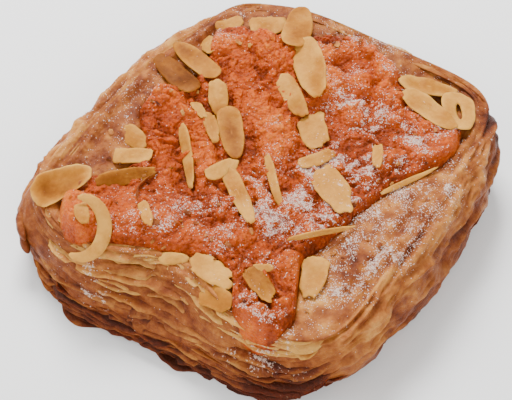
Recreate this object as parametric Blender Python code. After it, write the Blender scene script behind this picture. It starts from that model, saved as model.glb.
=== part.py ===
"""Danish pastry: a puffed square of laminated dough, a lumpy fruit filling and flaked almonds.

Metres, +Z up. The origin is the middle of the flat underside, and the sides lie along X and Y.
"""

import math

import bmesh
import bpy
import numpy as np
from mathutils import Matrix, Vector
from mathutils.bvhtree import BVHTree

MM = 0.001
GAP = 0.3 * MM  # clearance between pieces that touch
FLAT = 0.03 * MM  # what lies lower is the underside

# Dough: middle, half sizes and squareness (power of the rounded square) of its foot and its rim.
FOOT_CENTRE = (-1.5 * MM, -3.0 * MM)
FOOT_HALF = (55.5 * MM, 59.0 * MM)
FOOT_POWER = 4.6
RIM_CENTRE = (-2.0 * MM, 2.8 * MM)
RIM_HALF = (55.0 * MM, 59.0 * MM)
RIM_POWER = 6.0
HOLLOW_HEIGHT = 21.0 * MM  # middle of the top skin, under the filling
CREST_HEIGHT = 27.0 * MM  # puffed ridge inside the rim
RIM_HEIGHT = 23.0 * MM  # where the cut layers begin
CORNER_DROP = 2.5 * MM
CREST_AT = 0.88  # share of the way from the middle to the rim
BELLY = 4.5 * MM  # how far the sides swell outwards
FRONT_FLATTER = 3.5 * MM  # how much less the front swells
UNDERSIDE_ROUND = 3.0 * MM  # the flat underside ends this far inside the foot
CORNER_PULLS = ((-45, 5.5 * MM), (45, 5.0 * MM), (135, 5.5 * MM), (-135, -1.5 * MM))
CORNER_SPREAD = math.radians(16)
OUTLINE_WAVES = ((3, 0.7 * MM, 1.0), (7, 0.5 * MM, 2.0), (11, 0.35 * MM, 0.5))  # count, reach, phase

# Layers that show on the cut sides.
LEAVES = 7
LEAF_EDGE = (0.15, 0.75, 0.95)  # where a leaf's edge starts, ends, and the groove above it
LEAF_GROOVE = 1.2 * MM
LEAF_WAVE = 0.45 * MM
LEAF_WAVE_TURNS = (5, 9)  # waves round the side, and their shift from foot to rim in radians
LIP_ANGLE = math.radians(-117)  # one bottom leaf sticks out here
LIP_SPREAD = math.radians(9)
LIP_REACH = 3.5 * MM

# Mesh fineness of the dough: segments round it, and rings on its top as shares of the rim.
DOUGH_SEGMENTS = 76
TOP_RINGS = (1.0, 0.98, 0.95, 0.92, 0.88, 0.82, 0.72, 0.5, 0.25)

# Filling: a plan between four corners, each side of which draws in (or swells out) in its middle.
FILLING_SOUTH_WEST = (-42.0 * MM, -65.0 * MM)
FILLING_SOUTH_EAST = (35.5 * MM, -67.0 * MM)
FILLING_NORTH_EAST = (53.0 * MM, 47.0 * MM)
FILLING_NORTH_WEST = (-50.0 * MM, 53.0 * MM)
DRAW_IN_SOUTH = 20.0 * MM
DRAW_IN_NORTH = -5.0 * MM
DRAW_IN_EAST = 12.5 * MM
DRAW_IN_WEST = 3.5 * MM
FILLING_CORNER = 0.18  # how far each corner rounds off
FILLING_EDGE = 0.5 * MM  # thickness above the skin at its edge
FILLING_SINK = 1.2 * MM  # depth below the skin at its edge
FILLING_BED = 16.0 * MM  # height of its flat underside
BED_SHARE = 0.68  # size of that underside
FILLING_CELLS = 33
EDGE_FADE = 6.0  # high lets the lumps start right at the edge
BLEND_POWER = 7.0  # high keeps the creases between the lumps sharp

# Lumps of filling: x, y, length, width, turn in degrees, height. Sizes in millimetres.
LUMPS = [
    (-36, 0, 26, 13, -20, 5.5),
    (-19, -10, 27, 12, -38, 6.0),
    (-33, -13, 22, 9, -35, 4.0),
    (-22, -24, 24, 10, -50, 4.0),
    (-34, 35, 17, 15, -30, 6.0),
    (-21, 36, 15, 17, -60, 5.0),
    (-20, 18, 26, 12, -45, 5.0),
    (-4, 9, 26, 19, -30, 6.5),
    (-10, 22, 14, 10, -30, 5.0),
    (-2, 36, 17, 23, -40, 7.0),
    (3, 50, 19, 10, -5, 5.0),
    (13, 46, 17, 11, -35, 5.5),
    (14, 30, 18, 14, 10, 5.0),
    (27, 37, 17, 13, -20, 4.5),
    (16, 20, 16, 11, -10, 3.5),
    (40, 28, 18, 16, 30, 5.0),
    (31, 12, 16, 17, 60, 5.0),
    (2, -11, 17, 13, -20, 5.0),
    (15, -15, 13, 13, -40, 4.0),
    (24, -5, 18, 12, -50, 4.0),
    (-38, -34, 17, 11, -10, 4.5),
    (-34, -47, 18, 16, 20, 5.5),
    (-18, -40, 15, 16, -35, 5.0),
    (-4, -41, 13, 11, -40, 5.0),
    (5, -31, 17, 12, -10, 4.5),
    (23, -34, 17, 14, 20, 5.0),
    (14, -40, 14, 10, -20, 3.5),
    (27, -49, 15, 11, 10, 5.0),
    (19, -46, 9, 12, 10, 4.0),
]

# Flaked almonds.
FLAKE_THICKNESS = 1.1 * MM
FLAKE_SEGMENTS = 16
FLAKE_TAPER = 0.22  # how much narrower the pointed end is
FLAKE_CUP = 0.05  # rise of the edge as a share of the length
FLAKE_SHOULDER = 0.86  # the flat faces end at this share of the outline
FLAKE_EDGE = 0.5  # thickness of the edge as a share of the middle's
FLAKE_LEAN = 0.6  # a stiff flake leans less than the ground under it
HOLD_HEIGHT = 100.0 * MM  # flakes come down from here
GROUND_REACH = (0.4, 0.3)  # share of the flake's length and width that feels the ground
FLAKE_SLOT = (7.5 * MM, 2.2 * MM)  # length and width of the split through one flake

# Whole flakes on top, from the lowest up: x, y, turn in degrees, length, width, in millimetres.
FLAKES = [
    ("almond_rim_low", -43.5, 14.5, 156, 26, 8.5),
    ("almond_rim_high", -41.0, 21.0, 157, 26, 8.0),
    ("almond_far_low", -8.5, 33.5, -55, 26, 9.0),
    ("almond_far_high", -19.5, 49.5, 112, 25, 11.0),
    ("almond_east_low", 34.0, 40.5, -14, 22, 9.0),
    ("almond_east_mid", 27.0, 49.0, 14, 19, 10.0),
    ("almond_east_split", 41.0, 46.0, -62, 19, 11.5),
    ("almond_middle", -13.5, 0.0, -50, 21, 7.5),
    ("almond_centre", 7.0, 12.0, -50, 16, 8.5),
    ("almond_sugared", 24.0, -4.5, -50, 18, 9.0),
    ("almond_west", -46.5, -42.0, -72, 20, 12.5),
    ("almond_west_small", -32.5, -22.0, 10, 13, 6.0),
    ("almond_front", 7.0, -44.5, -12, 14, 7.0),
    ("almond_brown", 24.0, -45.0, -30, 13, 6.0),
    ("almond_south", 33.0, -34.0, -60, 15, 8.0),
]
SPLIT_FLAKE = "almond_east_split"

DOUGH_COLOUR = (0.56, 0.27, 0.09, 1.0)
FILLING_COLOUR = (0.72, 0.20, 0.05, 1.0)
ALMOND_COLOUR = (0.78, 0.55, 0.28, 1.0)


def clear_scene():
    for item in list(bpy.data.objects):
        bpy.data.objects.remove(item)


def new_collection(name):
    collection = bpy.data.collections.new(name)
    bpy.context.scene.collection.children.link(collection)
    return collection


def new_material(name, colour, roughness):
    material = bpy.data.materials.new(name)
    material.use_nodes = True
    shader = material.node_tree.nodes["Principled BSDF"]
    shader.inputs["Base Color"].default_value = colour
    shader.inputs["Roughness"].default_value = roughness
    shader.inputs["Metallic"].default_value = 0.0
    return material


def object_from(bm, name, collection, material):
    mesh = bpy.data.meshes.new(name)
    bm.to_mesh(mesh)
    bm.free()
    mesh.materials.append(material)
    mesh.shade_smooth()
    item = bpy.data.objects.new(name, mesh)
    collection.objects.link(item)
    return item


def mix(low, high, share):
    return low + (high - low) * share


def plan_radius(angle, half, power):
    """Distance from the middle to a rounded square, in the direction of the angle."""
    across = abs(math.cos(angle)) / half[0]
    along = abs(math.sin(angle)) / half[1]
    radius = (across**power + along**power) ** (-1 / power)
    for degrees, pull in CORNER_PULLS:
        off = math.remainder(angle - math.radians(degrees), math.tau) / CORNER_SPREAD
        radius -= pull * math.exp(-(off**2))
    for count, reach, phase in OUTLINE_WAVES:
        radius += reach * math.sin(count * angle + phase)
    return radius


def skin_height(x, y):
    """Height of the dough's top skin: a shallow hollow, a puffed crest, then down to the rim."""
    x, y = x - RIM_CENTRE[0], y - RIM_CENTRE[1]
    angle = math.atan2(y, x)
    share = math.hypot(x, y) / plan_radius(angle, RIM_HALF, RIM_POWER)
    crest = CREST_HEIGHT - CORNER_DROP * math.sin(2 * angle) ** 2
    if share < CREST_AT:
        rise = (share / CREST_AT) ** 2
        return mix(HOLLOW_HEIGHT, crest, rise * (2 - rise))
    fall = ((share - CREST_AT) / (1 - CREST_AT)) ** 2
    return mix(crest, RIM_HEIGHT, fall)


def side_point(angle, climb, groove):
    """A point on the cut side, from the foot at climb 0 to the rim at climb 1."""
    foot = plan_radius(angle, FOOT_HALF, FOOT_POWER)
    rim = plan_radius(angle, RIM_HALF, RIM_POWER)
    swell = math.sin(math.pi * climb)
    belly = BELLY - FRONT_FLATTER * max(0.0, -math.sin(angle)) ** 2
    radius = mix(foot, rim, climb) + belly * swell - groove
    off_lip = math.remainder(angle - LIP_ANGLE, math.tau) / LIP_SPREAD
    if climb < 1 / LEAVES:
        radius += LIP_REACH * math.exp(-(off_lip**2))
    turns, shift = LEAF_WAVE_TURNS
    wave = LEAF_WAVE * math.sin(turns * angle + shift * climb) * swell
    x = mix(FOOT_CENTRE[0], RIM_CENTRE[0], climb) + radius * math.cos(angle)
    y = mix(FOOT_CENTRE[1], RIM_CENTRE[1], climb) + radius * math.sin(angle)
    return x, y, RIM_HEIGHT * climb + wave


def top_point(angle, share):
    """A point on the top skin, from the middle at share 0 to the rim at share 1."""
    radius = plan_radius(angle, RIM_HALF, RIM_POWER) * share
    x = RIM_CENTRE[0] + radius * math.cos(angle)
    y = RIM_CENTRE[1] + radius * math.sin(angle)
    return x, y, skin_height(x, y)


def dough_rows(angle):
    """The whole section at one angle, from the pole underneath to the pole on top."""
    foot_x, foot_y, _ = side_point(angle, 0.0, UNDERSIDE_ROUND)
    rows = [(FOOT_CENTRE[0], FOOT_CENTRE[1], 0.0), (foot_x, foot_y, 0.0)]
    start, end, groove = LEAF_EDGE
    for leaf in range(LEAVES):
        rows.append(side_point(angle, (leaf + start) / LEAVES, 0.0))
        rows.append(side_point(angle, (leaf + end) / LEAVES, 0.0))
        if leaf < LEAVES - 1:
            rows.append(side_point(angle, (leaf + groove) / LEAVES, LEAF_GROOVE))
    rows += [top_point(angle, share) for share in TOP_RINGS]
    rows.append(top_point(angle, 0.0))
    return rows


def make_dough(collection, material):
    """A sphere whose parallels become the rows of the section, all the way round."""
    row_count = len(dough_rows(0.0)) - 1
    bm = bmesh.new()
    bmesh.ops.create_uvsphere(bm, u_segments=DOUGH_SEGMENTS, v_segments=row_count, radius=1.0)
    for vert in bm.verts:
        angle = math.atan2(vert.co.y, vert.co.x)
        latitude = math.asin(max(-1.0, min(1.0, vert.co.z)))
        row = round((latitude / math.pi + 0.5) * row_count)
        vert.co = dough_rows(angle)[row]
    underside = [face for face in bm.faces if all(vert.co.z < FLAT for vert in face.verts)]
    bmesh.ops.dissolve_faces(bm, faces=underside)
    return object_from(bm, "dough", collection, material)


def filling_place(across, along):
    """Maps a square from -1 to 1 to the plan of the filling."""
    east, north = (across + 1) / 2, (along + 1) / 2
    south_side = Vector(FILLING_SOUTH_WEST).lerp(Vector(FILLING_SOUTH_EAST), east)
    north_side = Vector(FILLING_NORTH_WEST).lerp(Vector(FILLING_NORTH_EAST), east)
    place = south_side.lerp(north_side, north)
    middle_x, middle_y = 1 - along**2, 1 - across**2
    place.x += middle_x * mix(DRAW_IN_WEST, -DRAW_IN_EAST, east)
    place.y += middle_y * mix(DRAW_IN_SOUTH, -DRAW_IN_NORTH, north)
    place *= 1 - FILLING_CORNER * across**4 * along**4
    return place.x, place.y


def lump_height(x, y):
    """Half ellipsoids merged by a soft maximum, so that creases stay between them."""
    table = np.array(LUMPS, dtype=float)
    turn = np.radians(table[:, 4])
    east = x / MM - table[:, 0]
    north = y / MM - table[:, 1]
    along = (east * np.cos(turn) + north * np.sin(turn)) / (table[:, 2] / 2)
    across = (north * np.cos(turn) - east * np.sin(turn)) / (table[:, 3] / 2)
    dome = table[:, 5] * np.sqrt(np.clip(1 - along**2 - across**2, 0, 1))
    return MM * float(np.sum(dome**BLEND_POWER) ** (1 / BLEND_POWER))


def make_filling(collection, material):
    """A lumpy sheet with a rim that goes down into the dough, closed by a smaller flat underside."""
    bm = bmesh.new()
    bmesh.ops.create_grid(bm, x_segments=FILLING_CELLS, y_segments=FILLING_CELLS, size=1.0)
    for vert in bm.verts:
        across, along = vert.co.x, vert.co.y
        inside = (1 - across**2) * (1 - along**2)
        x, y = filling_place(across, along)
        lump = lump_height(x, y) * min(1.0, EDGE_FADE * inside)
        vert.co = (x, y, skin_height(x, y) + FILLING_EDGE + lump)
    edge = [e for e in bm.edges if e.is_boundary]
    wall = bmesh.ops.extrude_edge_only(bm, edges=edge)["geom"]
    for vert in (g for g in wall if isinstance(g, bmesh.types.BMVert)):
        vert.co.z -= FILLING_EDGE + FILLING_SINK
    edge = [g for g in wall if isinstance(g, bmesh.types.BMEdge) and g.is_boundary]
    slope = bmesh.ops.extrude_edge_only(bm, edges=edge)["geom"]
    for vert in (g for g in slope if isinstance(g, bmesh.types.BMVert)):
        vert.co.x *= BED_SHARE
        vert.co.y *= BED_SHARE
        vert.co.z = FILLING_BED
    edge = [g for g in slope if isinstance(g, bmesh.types.BMEdge) and g.is_boundary]
    bmesh.ops.contextual_create(bm, geom=edge)
    bmesh.ops.recalc_face_normals(bm, faces=bm.faces)
    return object_from(bm, "filling", collection, material)


def hide_cutter(cutter):
    cutter.hide_render = True
    cutter.display_type = "WIRE"


def cut(item, cutter, name):
    """Takes the cutter's shape out of the item."""
    boolean = item.modifiers.new(name, "BOOLEAN")
    boolean.operation = "DIFFERENCE"
    boolean.solver = "EXACT"
    boolean.object = cutter


def cut_bed(dough, filling, cutters):
    """Cuts the filling's shape, grown by the gap, out of the dough."""
    cutter = filling.copy()
    cutter.name = "filling_cutter"
    cutters.objects.link(cutter)
    hide_cutter(cutter)
    grow = cutter.modifiers.new("grow", "DISPLACE")
    grow.strength = GAP
    grow.mid_level = 0.0
    cut(dough, cutter, "bed")


def flake_mesh(length, width):
    """A thin cupped slice with a blunt edge, narrower at +X, made from a flattened sphere."""
    bm = bmesh.new()
    rings = 5  # pole, flat face, edge above, edge below, flat face, pole
    bmesh.ops.create_uvsphere(bm, u_segments=FLAKE_SEGMENTS, v_segments=rings, radius=1.0)
    for vert in bm.verts:
        angle = math.atan2(vert.co.y, vert.co.x)
        ring = round((0.5 - math.asin(max(-1.0, min(1.0, vert.co.z))) / math.pi) * rings)
        spread = (0.0, FLAKE_SHOULDER, 1.0, 1.0, FLAKE_SHOULDER, 0.0)[ring]
        level = 0.5 if spread < 1.0 else 0.5 * FLAKE_EDGE
        x = spread * math.cos(angle) * length / 2
        y = spread * math.sin(angle) * width / 2 * (1 - FLAKE_TAPER * math.cos(angle))
        cup = FLAKE_CUP * length * (2 * x / length) ** 2
        vert.co = (x, y, cup + math.copysign(level * FLAKE_THICKNESS, vert.co.z))
    return bm


def slot_mesh():
    """Cutter for the slot in the flake whose two halves have parted."""
    bm = bmesh.new()
    depth = 20 * FLAKE_THICKNESS
    bmesh.ops.create_cone(bm, cap_ends=True, segments=12, radius1=0.5, radius2=0.5, depth=depth)
    bmesh.ops.scale(bm, vec=(*FLAKE_SLOT, 1.0), verts=bm.verts)
    return bm


def height_below(point, terrain):
    """Height of the highest piece under a point, or None beyond the pastry."""
    hits = [tree.ray_cast(point, Vector((0, 0, -1)))[0] for tree in terrain]
    return max((hit.z for hit in hits if hit is not None), default=None)


def slope_under(x, y, turn, length, width, terrain):
    """Tilt of the plane that fits the ground under a flake, as a rotation."""
    rows = []
    for along in np.linspace(-GROUND_REACH[0], GROUND_REACH[0], 7):
        for across in np.linspace(-GROUND_REACH[1], GROUND_REACH[1], 3):
            east = x + along * length * math.cos(turn) - across * width * math.sin(turn)
            north = y + along * length * math.sin(turn) + across * width * math.cos(turn)
            height = height_below(Vector((east, north, 1.0)), terrain)
            if height is not None and height > RIM_HEIGHT:
                rows.append((east, north, height))
    table = np.array(rows)
    table = np.column_stack([table, np.ones(len(table))])
    east_slope, north_slope, _ = np.linalg.lstsq(table[:, [0, 1, 3]], table[:, 2], rcond=None)[0]
    normal = Vector((-east_slope * FLAKE_LEAN, -north_slope * FLAKE_LEAN, 1.0)).normalized()
    return Vector((0, 0, 1)).rotation_difference(normal).to_matrix().to_4x4()


def drop_height(matrix, length, width, terrain):
    """How far a flake held above the pastry can come down before it touches."""
    room = []
    for along in np.linspace(-1, 1, 25):
        for across in np.linspace(-1, 1, 13):
            if along**2 + across**2 > 1:
                continue
            taper = 1 - FLAKE_TAPER * along
            x = along * length / 2
            cup = FLAKE_CUP * length * along**2
            point = matrix @ Vector((x, across * width / 2 * taper, cup - FLAKE_THICKNESS / 2))
            ground = height_below(point, terrain)
            if ground is not None:
                room.append(point.z - ground)
    return min(room)


def tree_of(item):
    """Search tree of a piece's surface, in world space."""
    bm = bmesh.new()
    bm.from_object(item, bpy.context.evaluated_depsgraph_get())
    bm.transform(item.matrix_world)
    tree = BVHTree.FromBMesh(bm)
    bm.free()
    return tree


def make_flakes(collection, cutters, material, ground):
    """Lays the flakes one by one on what is under them."""
    terrain = [tree_of(item) for item in ground]
    for name, *sizes in FLAKES:
        x, y, degrees, length, width = sizes
        x, y, length, width = x * MM, y * MM, length * MM, width * MM
        turn = math.radians(degrees)
        tilt = slope_under(x, y, turn, length, width, terrain)
        held = Matrix.Translation((x, y, HOLD_HEIGHT)) @ tilt @ Matrix.Rotation(turn, 4, "Z")
        fall = drop_height(held, length, width, terrain) - GAP
        flake = object_from(flake_mesh(length, width), name, collection, material)
        flake.matrix_world = Matrix.Translation((0, 0, -fall)) @ held
        bpy.context.view_layer.update()
        terrain.append(tree_of(flake))
        if name == SPLIT_FLAKE:
            cutter = object_from(slot_mesh(), "split_cutter", cutters, material)
            cutter.matrix_world = flake.matrix_world
            hide_cutter(cutter)
            cut(flake, cutter, "split")


def main():
    clear_scene()
    parts = new_collection("danish_pastry")
    cutters = new_collection("cutters")
    dough = make_dough(parts, new_material("baked_dough", DOUGH_COLOUR, 0.42))
    filling = make_filling(parts, new_material("fruit_filling", FILLING_COLOUR, 0.35))
    cut_bed(dough, filling, cutters)
    bpy.context.view_layer.update()
    make_flakes(parts, cutters, new_material("flaked_almond", ALMOND_COLOUR, 0.5), [dough, filling])


main()
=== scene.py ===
import math

import bpy
import numpy as np
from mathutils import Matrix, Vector


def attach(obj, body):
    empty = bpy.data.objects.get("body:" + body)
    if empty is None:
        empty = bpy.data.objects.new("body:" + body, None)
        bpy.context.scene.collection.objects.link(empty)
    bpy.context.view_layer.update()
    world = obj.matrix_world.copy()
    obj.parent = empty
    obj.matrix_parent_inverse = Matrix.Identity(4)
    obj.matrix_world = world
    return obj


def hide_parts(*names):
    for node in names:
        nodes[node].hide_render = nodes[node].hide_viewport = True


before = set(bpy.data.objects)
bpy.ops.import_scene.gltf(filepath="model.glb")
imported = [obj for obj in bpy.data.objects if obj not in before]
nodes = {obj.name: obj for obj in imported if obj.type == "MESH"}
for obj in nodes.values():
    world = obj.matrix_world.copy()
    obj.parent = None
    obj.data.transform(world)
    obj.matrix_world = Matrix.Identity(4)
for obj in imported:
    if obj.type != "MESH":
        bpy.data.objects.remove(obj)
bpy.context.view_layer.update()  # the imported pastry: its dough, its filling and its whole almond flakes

mm = 0.001
print("frame loaded")


# noise and patterns

def cornerNumber(ix, iy, iz, seed):
    # a repeatable number from -1 to 1 for each whole-number corner, mixed from its three indices
    ix, iy, iz = (np.asarray(index, np.int64) for index in (ix, iy, iz))
    key = (ix * 73856093) ^ (iy * 19349663) ^ (iz * 83492791) ^ (seed * 97531)
    key = ((key & 0xffffffff) ^ ((key & 0xffffffff) >> 15)) * 668265263 & 0xffffffff
    key = (key ^ (key >> 13)) * 374761393 & 0xffffffff
    return (key ^ (key >> 16)) / 2147483648.0 - 1


def softNoise(x, y, z, seed):
    # value noise: the numbers at the eight corners round a point, blended by 3t^2 - 2t^3 along each axis
    x, y, z = np.broadcast_arrays(*(np.asarray(a, float) for a in (x, y, z)))
    whole = [np.floor(a).astype(np.int64) for a in (x, y, z)]
    blend = [(a - w) ** 2 * (3 - 2 * (a - w)) for a, w in zip((x, y, z), whole)]
    total = np.zeros(x.shape)
    for corner in range(8):
        step = (corner & 1, corner >> 1 & 1, corner >> 2)
        weight = 1.0
        for part, side in zip(blend, step):
            weight = weight * (part if side else 1 - part)
        total += weight * cornerNumber(*(w + s for w, s in zip(whole, step)), seed)
    return total


def layeredNoise(x, y, z, size, seed, octaves=3):
    # soft noise added up at halving sizes and strengths; size is that of the largest bumps
    total, strength = 0.0, 1.0
    for octave in range(octaves):
        total = total + strength * softNoise(x / size, y / size, z / size, seed + 17 * octave)
        size, strength = size / 2, strength / 2
    return total


def cellNoise(x, y, size, seed):
    # one random point in each square cell: distances to the nearest and the next, in cells
    x, y = x / size, y / size
    ix, iy = np.floor(x).astype(np.int64), np.floor(y).astype(np.int64)
    near, second = np.full(x.shape, 9.0), np.full(x.shape, 9.0)
    for dx in (-1, 0, 1):
        for dy in (-1, 0, 1):
            cx, cy = ix + dx, iy + dy
            px = cx + 0.5 + 0.45 * cornerNumber(cx, cy, 0 * cx, seed)
            py = cy + 0.5 + 0.45 * cornerNumber(cx, cy, 0 * cx + 1, seed)
            gap = np.hypot(px - x, py - y)
            second = np.minimum(second, np.maximum(near, gap))
            near = np.minimum(near, gap)
    return near, second


def mix(low, high, share):
    # from low to high: low + (high - low) share
    return low + (high - low) * share


def ramp(value, start, end):
    # 0 up to start, 1 from end on, and 3t^2 - 2t^3 between them
    t = np.clip((value - start) / (end - start), 0, 1)
    return t * t * (3 - 2 * t)


def bell(x, y, spot):
    # a bell round (cx, cy): its strength times exp of minus the squared distance over the squared radius
    cx, cy, radius, strength = spot
    return strength * np.exp(-((x / mm - cx) ** 2 + (y / mm - cy) ** 2) / radius ** 2)


# meshes from whole arrays

def gridFaces(rows, columns, wrapColumns=False, wrapRows=False):
    # quads of a grid whose point (row, column) has the number row * columns + column
    r = np.arange(rows if wrapRows else rows - 1)[:, None]
    c = np.arange(columns if wrapColumns else columns - 1)[None, :]
    r2, c2 = (r + 1) % rows, (c + 1) % columns
    corners = [r * columns + c, r * columns + c2, r2 * columns + c2, r2 * columns + c]
    return np.stack(np.broadcast_arrays(*corners), -1).reshape(-1, 4)


def fanFaces(pole, ring, outward):
    # triangles from one pole point to a closed ring of points
    after = np.roll(ring, -1)
    first, last = (ring, after) if outward else (after, ring)
    return np.column_stack([np.full(len(ring), pole), first, last])


def poleFans(total, columns, outward=False):
    # fans that close a grid's first and last rings to two poles, numbered after the grid's own points
    ring = np.arange(columns)
    return [fanFaces(total, ring, outward), fanFaces(total + 1, ring + total - columns, not outward)]


def gridNormals(points):
    # unit normals of a (rows, columns, 3) grid that wraps along its columns: along columns x along rows
    along = np.roll(points, -1, axis=1) - np.roll(points, 1, axis=1)
    up = np.gradient(points, axis=0)
    normal = np.cross(along, up)
    return normal / np.maximum(np.linalg.norm(normal, axis=-1, keepdims=True), 1e-12)


class Shape:
    # points, faces and marks (one number per point) of a piece, gathered part by part

    def __init__(self):
        self.points, self.faces, self.marks, self.count = [], [], {}, 0

    def add(self, points, faceSets, **marks):
        # takes in one part: its faces' numbers go up by the count of the points already there
        points = points.reshape(-1, 3)
        self.faces += [faces + self.count for faces in faceSets]
        self.points.append(points)
        self.count += len(points)
        for name, values in marks.items():
            values = np.broadcast_to(np.asarray(values, float).ravel(), (len(points),))
            self.marks.setdefault(name, []).append(values)

    def piece(self, name, material, replaced=None):
        # whole arrays into one mesh: each face starts where the corners of the faces before it end
        points = np.concatenate(self.points)
        loops = np.concatenate([faces.ravel() for faces in self.faces]).astype(np.int32)
        sizes = np.concatenate([np.full(len(faces), faces.shape[1]) for faces in self.faces])
        starts = np.concatenate([[0], np.cumsum(sizes)[:-1]]).astype(np.int32)
        mesh = bpy.data.meshes.new(name)
        mesh.vertices.add(len(points))
        mesh.vertices.foreach_set("co", points.astype(np.float32).ravel())
        mesh.loops.add(len(loops))
        mesh.loops.foreach_set("vertex_index", loops)
        mesh.polygons.add(len(sizes))
        mesh.polygons.foreach_set("loop_start", starts)
        mesh.polygons.foreach_set("use_smooth", np.ones(len(sizes), bool))
        mesh.update(calc_edges=True)
        mesh.validate()
        for mark, values in self.marks.items():
            layer = mesh.attributes.new(mark, "FLOAT", "POINT")
            layer.data.foreach_set("value", np.concatenate(values).astype(np.float32))
        mesh.materials.append(material)
        item = bpy.data.objects.new(name, mesh)
        bpy.context.scene.collection.objects.link(item)
        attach(item, "root")
        if replaced:
            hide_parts(replaced)
        print(f"{name}: {int((sizes - 2).sum())} triangles")


# the dough's form

dough = {  # millimetres; a pull is degrees round, spread in degrees and depth
    "foot": {"centre": (-1.5, -2.5), "half": (52.5, 56.0), "power": 4.6,
             "pulls": [(-45, 14, 4.0), (-22, 12, 4.0), (0, 12, 1.5), (45, 16, 4.5), (135, 16, 7.5),
                       (-133, 9, 1.5)]},
    "waist": {"centre": (-1.5, 0.5), "half": (60.0, 60.8), "power": 4.8,
              "pulls": [(-45, 13, 5.0), (-23, 12, 4.2), (0, 12, 2.4), (45, 13, 4.2), (140, 16, 9.8),
                        (160, 12, 1.5), (-160, 14, 1.0), (-134, 8, 0.3)]},
    "crest": {"centre": (-2.0, 3.2), "half": (50.5, 57.0), "power": 7.0,
              "pulls": [(-92, 17, 9.0), (-48, 10, 1.0), (140, 14, 6.5), (122, 8, 1.4), (158, 10, 1.5),
                        (-128, 10, 2.0)]},
    "waves": [(3, 1.0, 0.6), (7, 2.0, 0.4)],  # waves round, start in radians, depth
    "crestHeight": 26.4, "cornerDrop": 2.2, "hollowHeight": 21.0,
    "fallBeyond": 120,  # how much the skin's level falls per share of the outline beyond the crest
    "frontDip": (-92, 30, 1.8),  # degrees, spread, depth of the lower front edge
    "waistHeight": {"folded": 11.5, "cut": 5.0}, "waistAt": 0.36,  # its share of the climb
    "shoulderPower": {"folded": 0.95, "cut": 1.5},  # 1 is a quarter ellipse, more is straighter
    "underFilling": 2.8,  # how far the skin lies below its own level under the filling
    "columns": 700, "sideRows": 82, "topRows": 40, "innerRows": 10, "baseRows": 6,
}


def bump(angle, spot):
    # a bell along the outline: depth times exp of minus the angle from its middle over its spread, squared
    degrees, spread, depth = spot
    off = np.angle(np.exp(1j * (angle - math.radians(degrees)))) / math.radians(spread)
    return depth * np.exp(-off ** 2)


def outline(angle, plan):
    # rounded square: radius (|cos/halfX|^p + |sin/halfY|^p)^(-1/p), less a bell at each pull and small waves
    power = plan["power"]
    across, along = np.abs(np.cos(angle) / plan["half"][0]), np.abs(np.sin(angle) / plan["half"][1])
    radius = (across ** power + along ** power) ** (-1 / power)
    for pull in plan["pulls"]:
        radius = radius - bump(angle, pull)
    for count, begin, depth in dough["waves"]:
        radius = radius + depth * np.sin(count * angle + begin)
    cx, cy = plan["centre"]
    return mm * (cx + radius * np.cos(angle)), mm * (cy + radius * np.sin(angle))


def cutShare(angle):
    # 1 on the two cut sides at -Y and +Y, 0 on the two folded sides
    return ramp(np.abs(np.sin(angle)) - np.abs(np.cos(angle)), -0.12, 0.18)


def crestLevel(angle):
    # the crest's height, less sin(2a)^4 times the drop at the corners and less the bell of the front's dip
    corner = dough["cornerDrop"] * np.sin(2 * angle) ** 4
    return mm * (dough["crestHeight"] - corner - bump(angle, dough["frontDip"]))


def sideSurface(angle, climb):
    # the section from the foot (climb 0) to the crest (climb 1): a quarter ellipse out to the waist, then a
    # quarter superellipse in to the crest, sin and cos raised to the shoulder power
    cut = cutShare(angle)
    waistAt = dough["waistAt"]
    waistHeight = mm * mix(dough["waistHeight"]["folded"], dough["waistHeight"]["cut"], cut)
    power = mix(dough["shoulderPower"]["folded"], dough["shoulderPower"]["cut"], cut)
    low = np.clip(climb / waistAt, 0, 1) * math.pi / 2
    high = np.clip((climb - waistAt) / (1 - waistAt), 0, 1) * math.pi / 2
    out, rise = np.cos(high) ** power, np.sin(high) ** power
    footX, footY = outline(angle, dough["foot"])
    waistX, waistY = outline(angle, dough["waist"])
    crestX, crestY = outline(angle, dough["crest"])
    lowX, lowY = mix(footX, waistX, np.sin(low)), mix(footY, waistY, np.sin(low))
    x = lowX + (crestX - waistX) * (1 - out)
    y = lowY + (crestY - waistY) * (1 - out)
    z = waistHeight * (1 - np.cos(low)) + (crestLevel(angle) - waistHeight) * rise
    return x, y, z


def outwards(angle):
    # the horizontal unit normal of the waist outline: its tangent turned a quarter
    step = 0.004
    x1, y1 = outline(angle - step, dough["waist"])
    x2, y2 = outline(angle + step, dough["waist"])
    length = np.hypot(x2 - x1, y2 - y1)
    return (y2 - y1) / length, (x1 - x2) / length


def skinLevel(x, y):
    # the top skin: from the hollow in the middle up to the crest by r(2 - r), where r is the squared share
    cx, cy = (mm * v for v in dough["crest"]["centre"])
    angle = np.arctan2(y - cy, x - cx)
    edgeX, edgeY = outline(angle, dough["crest"])
    share = np.hypot(x - cx, y - cy) / np.hypot(edgeX - cx, edgeY - cy)
    rise = np.clip(share, 0, 1) ** 2
    beyond = np.clip(share - 1, 0, 1)
    level = mix(mm * dough["hollowHeight"], crestLevel(angle), rise * (2 - rise))
    return level - mm * dough["fallBeyond"] * beyond


# almond flakes: where they lie and how they look

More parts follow.
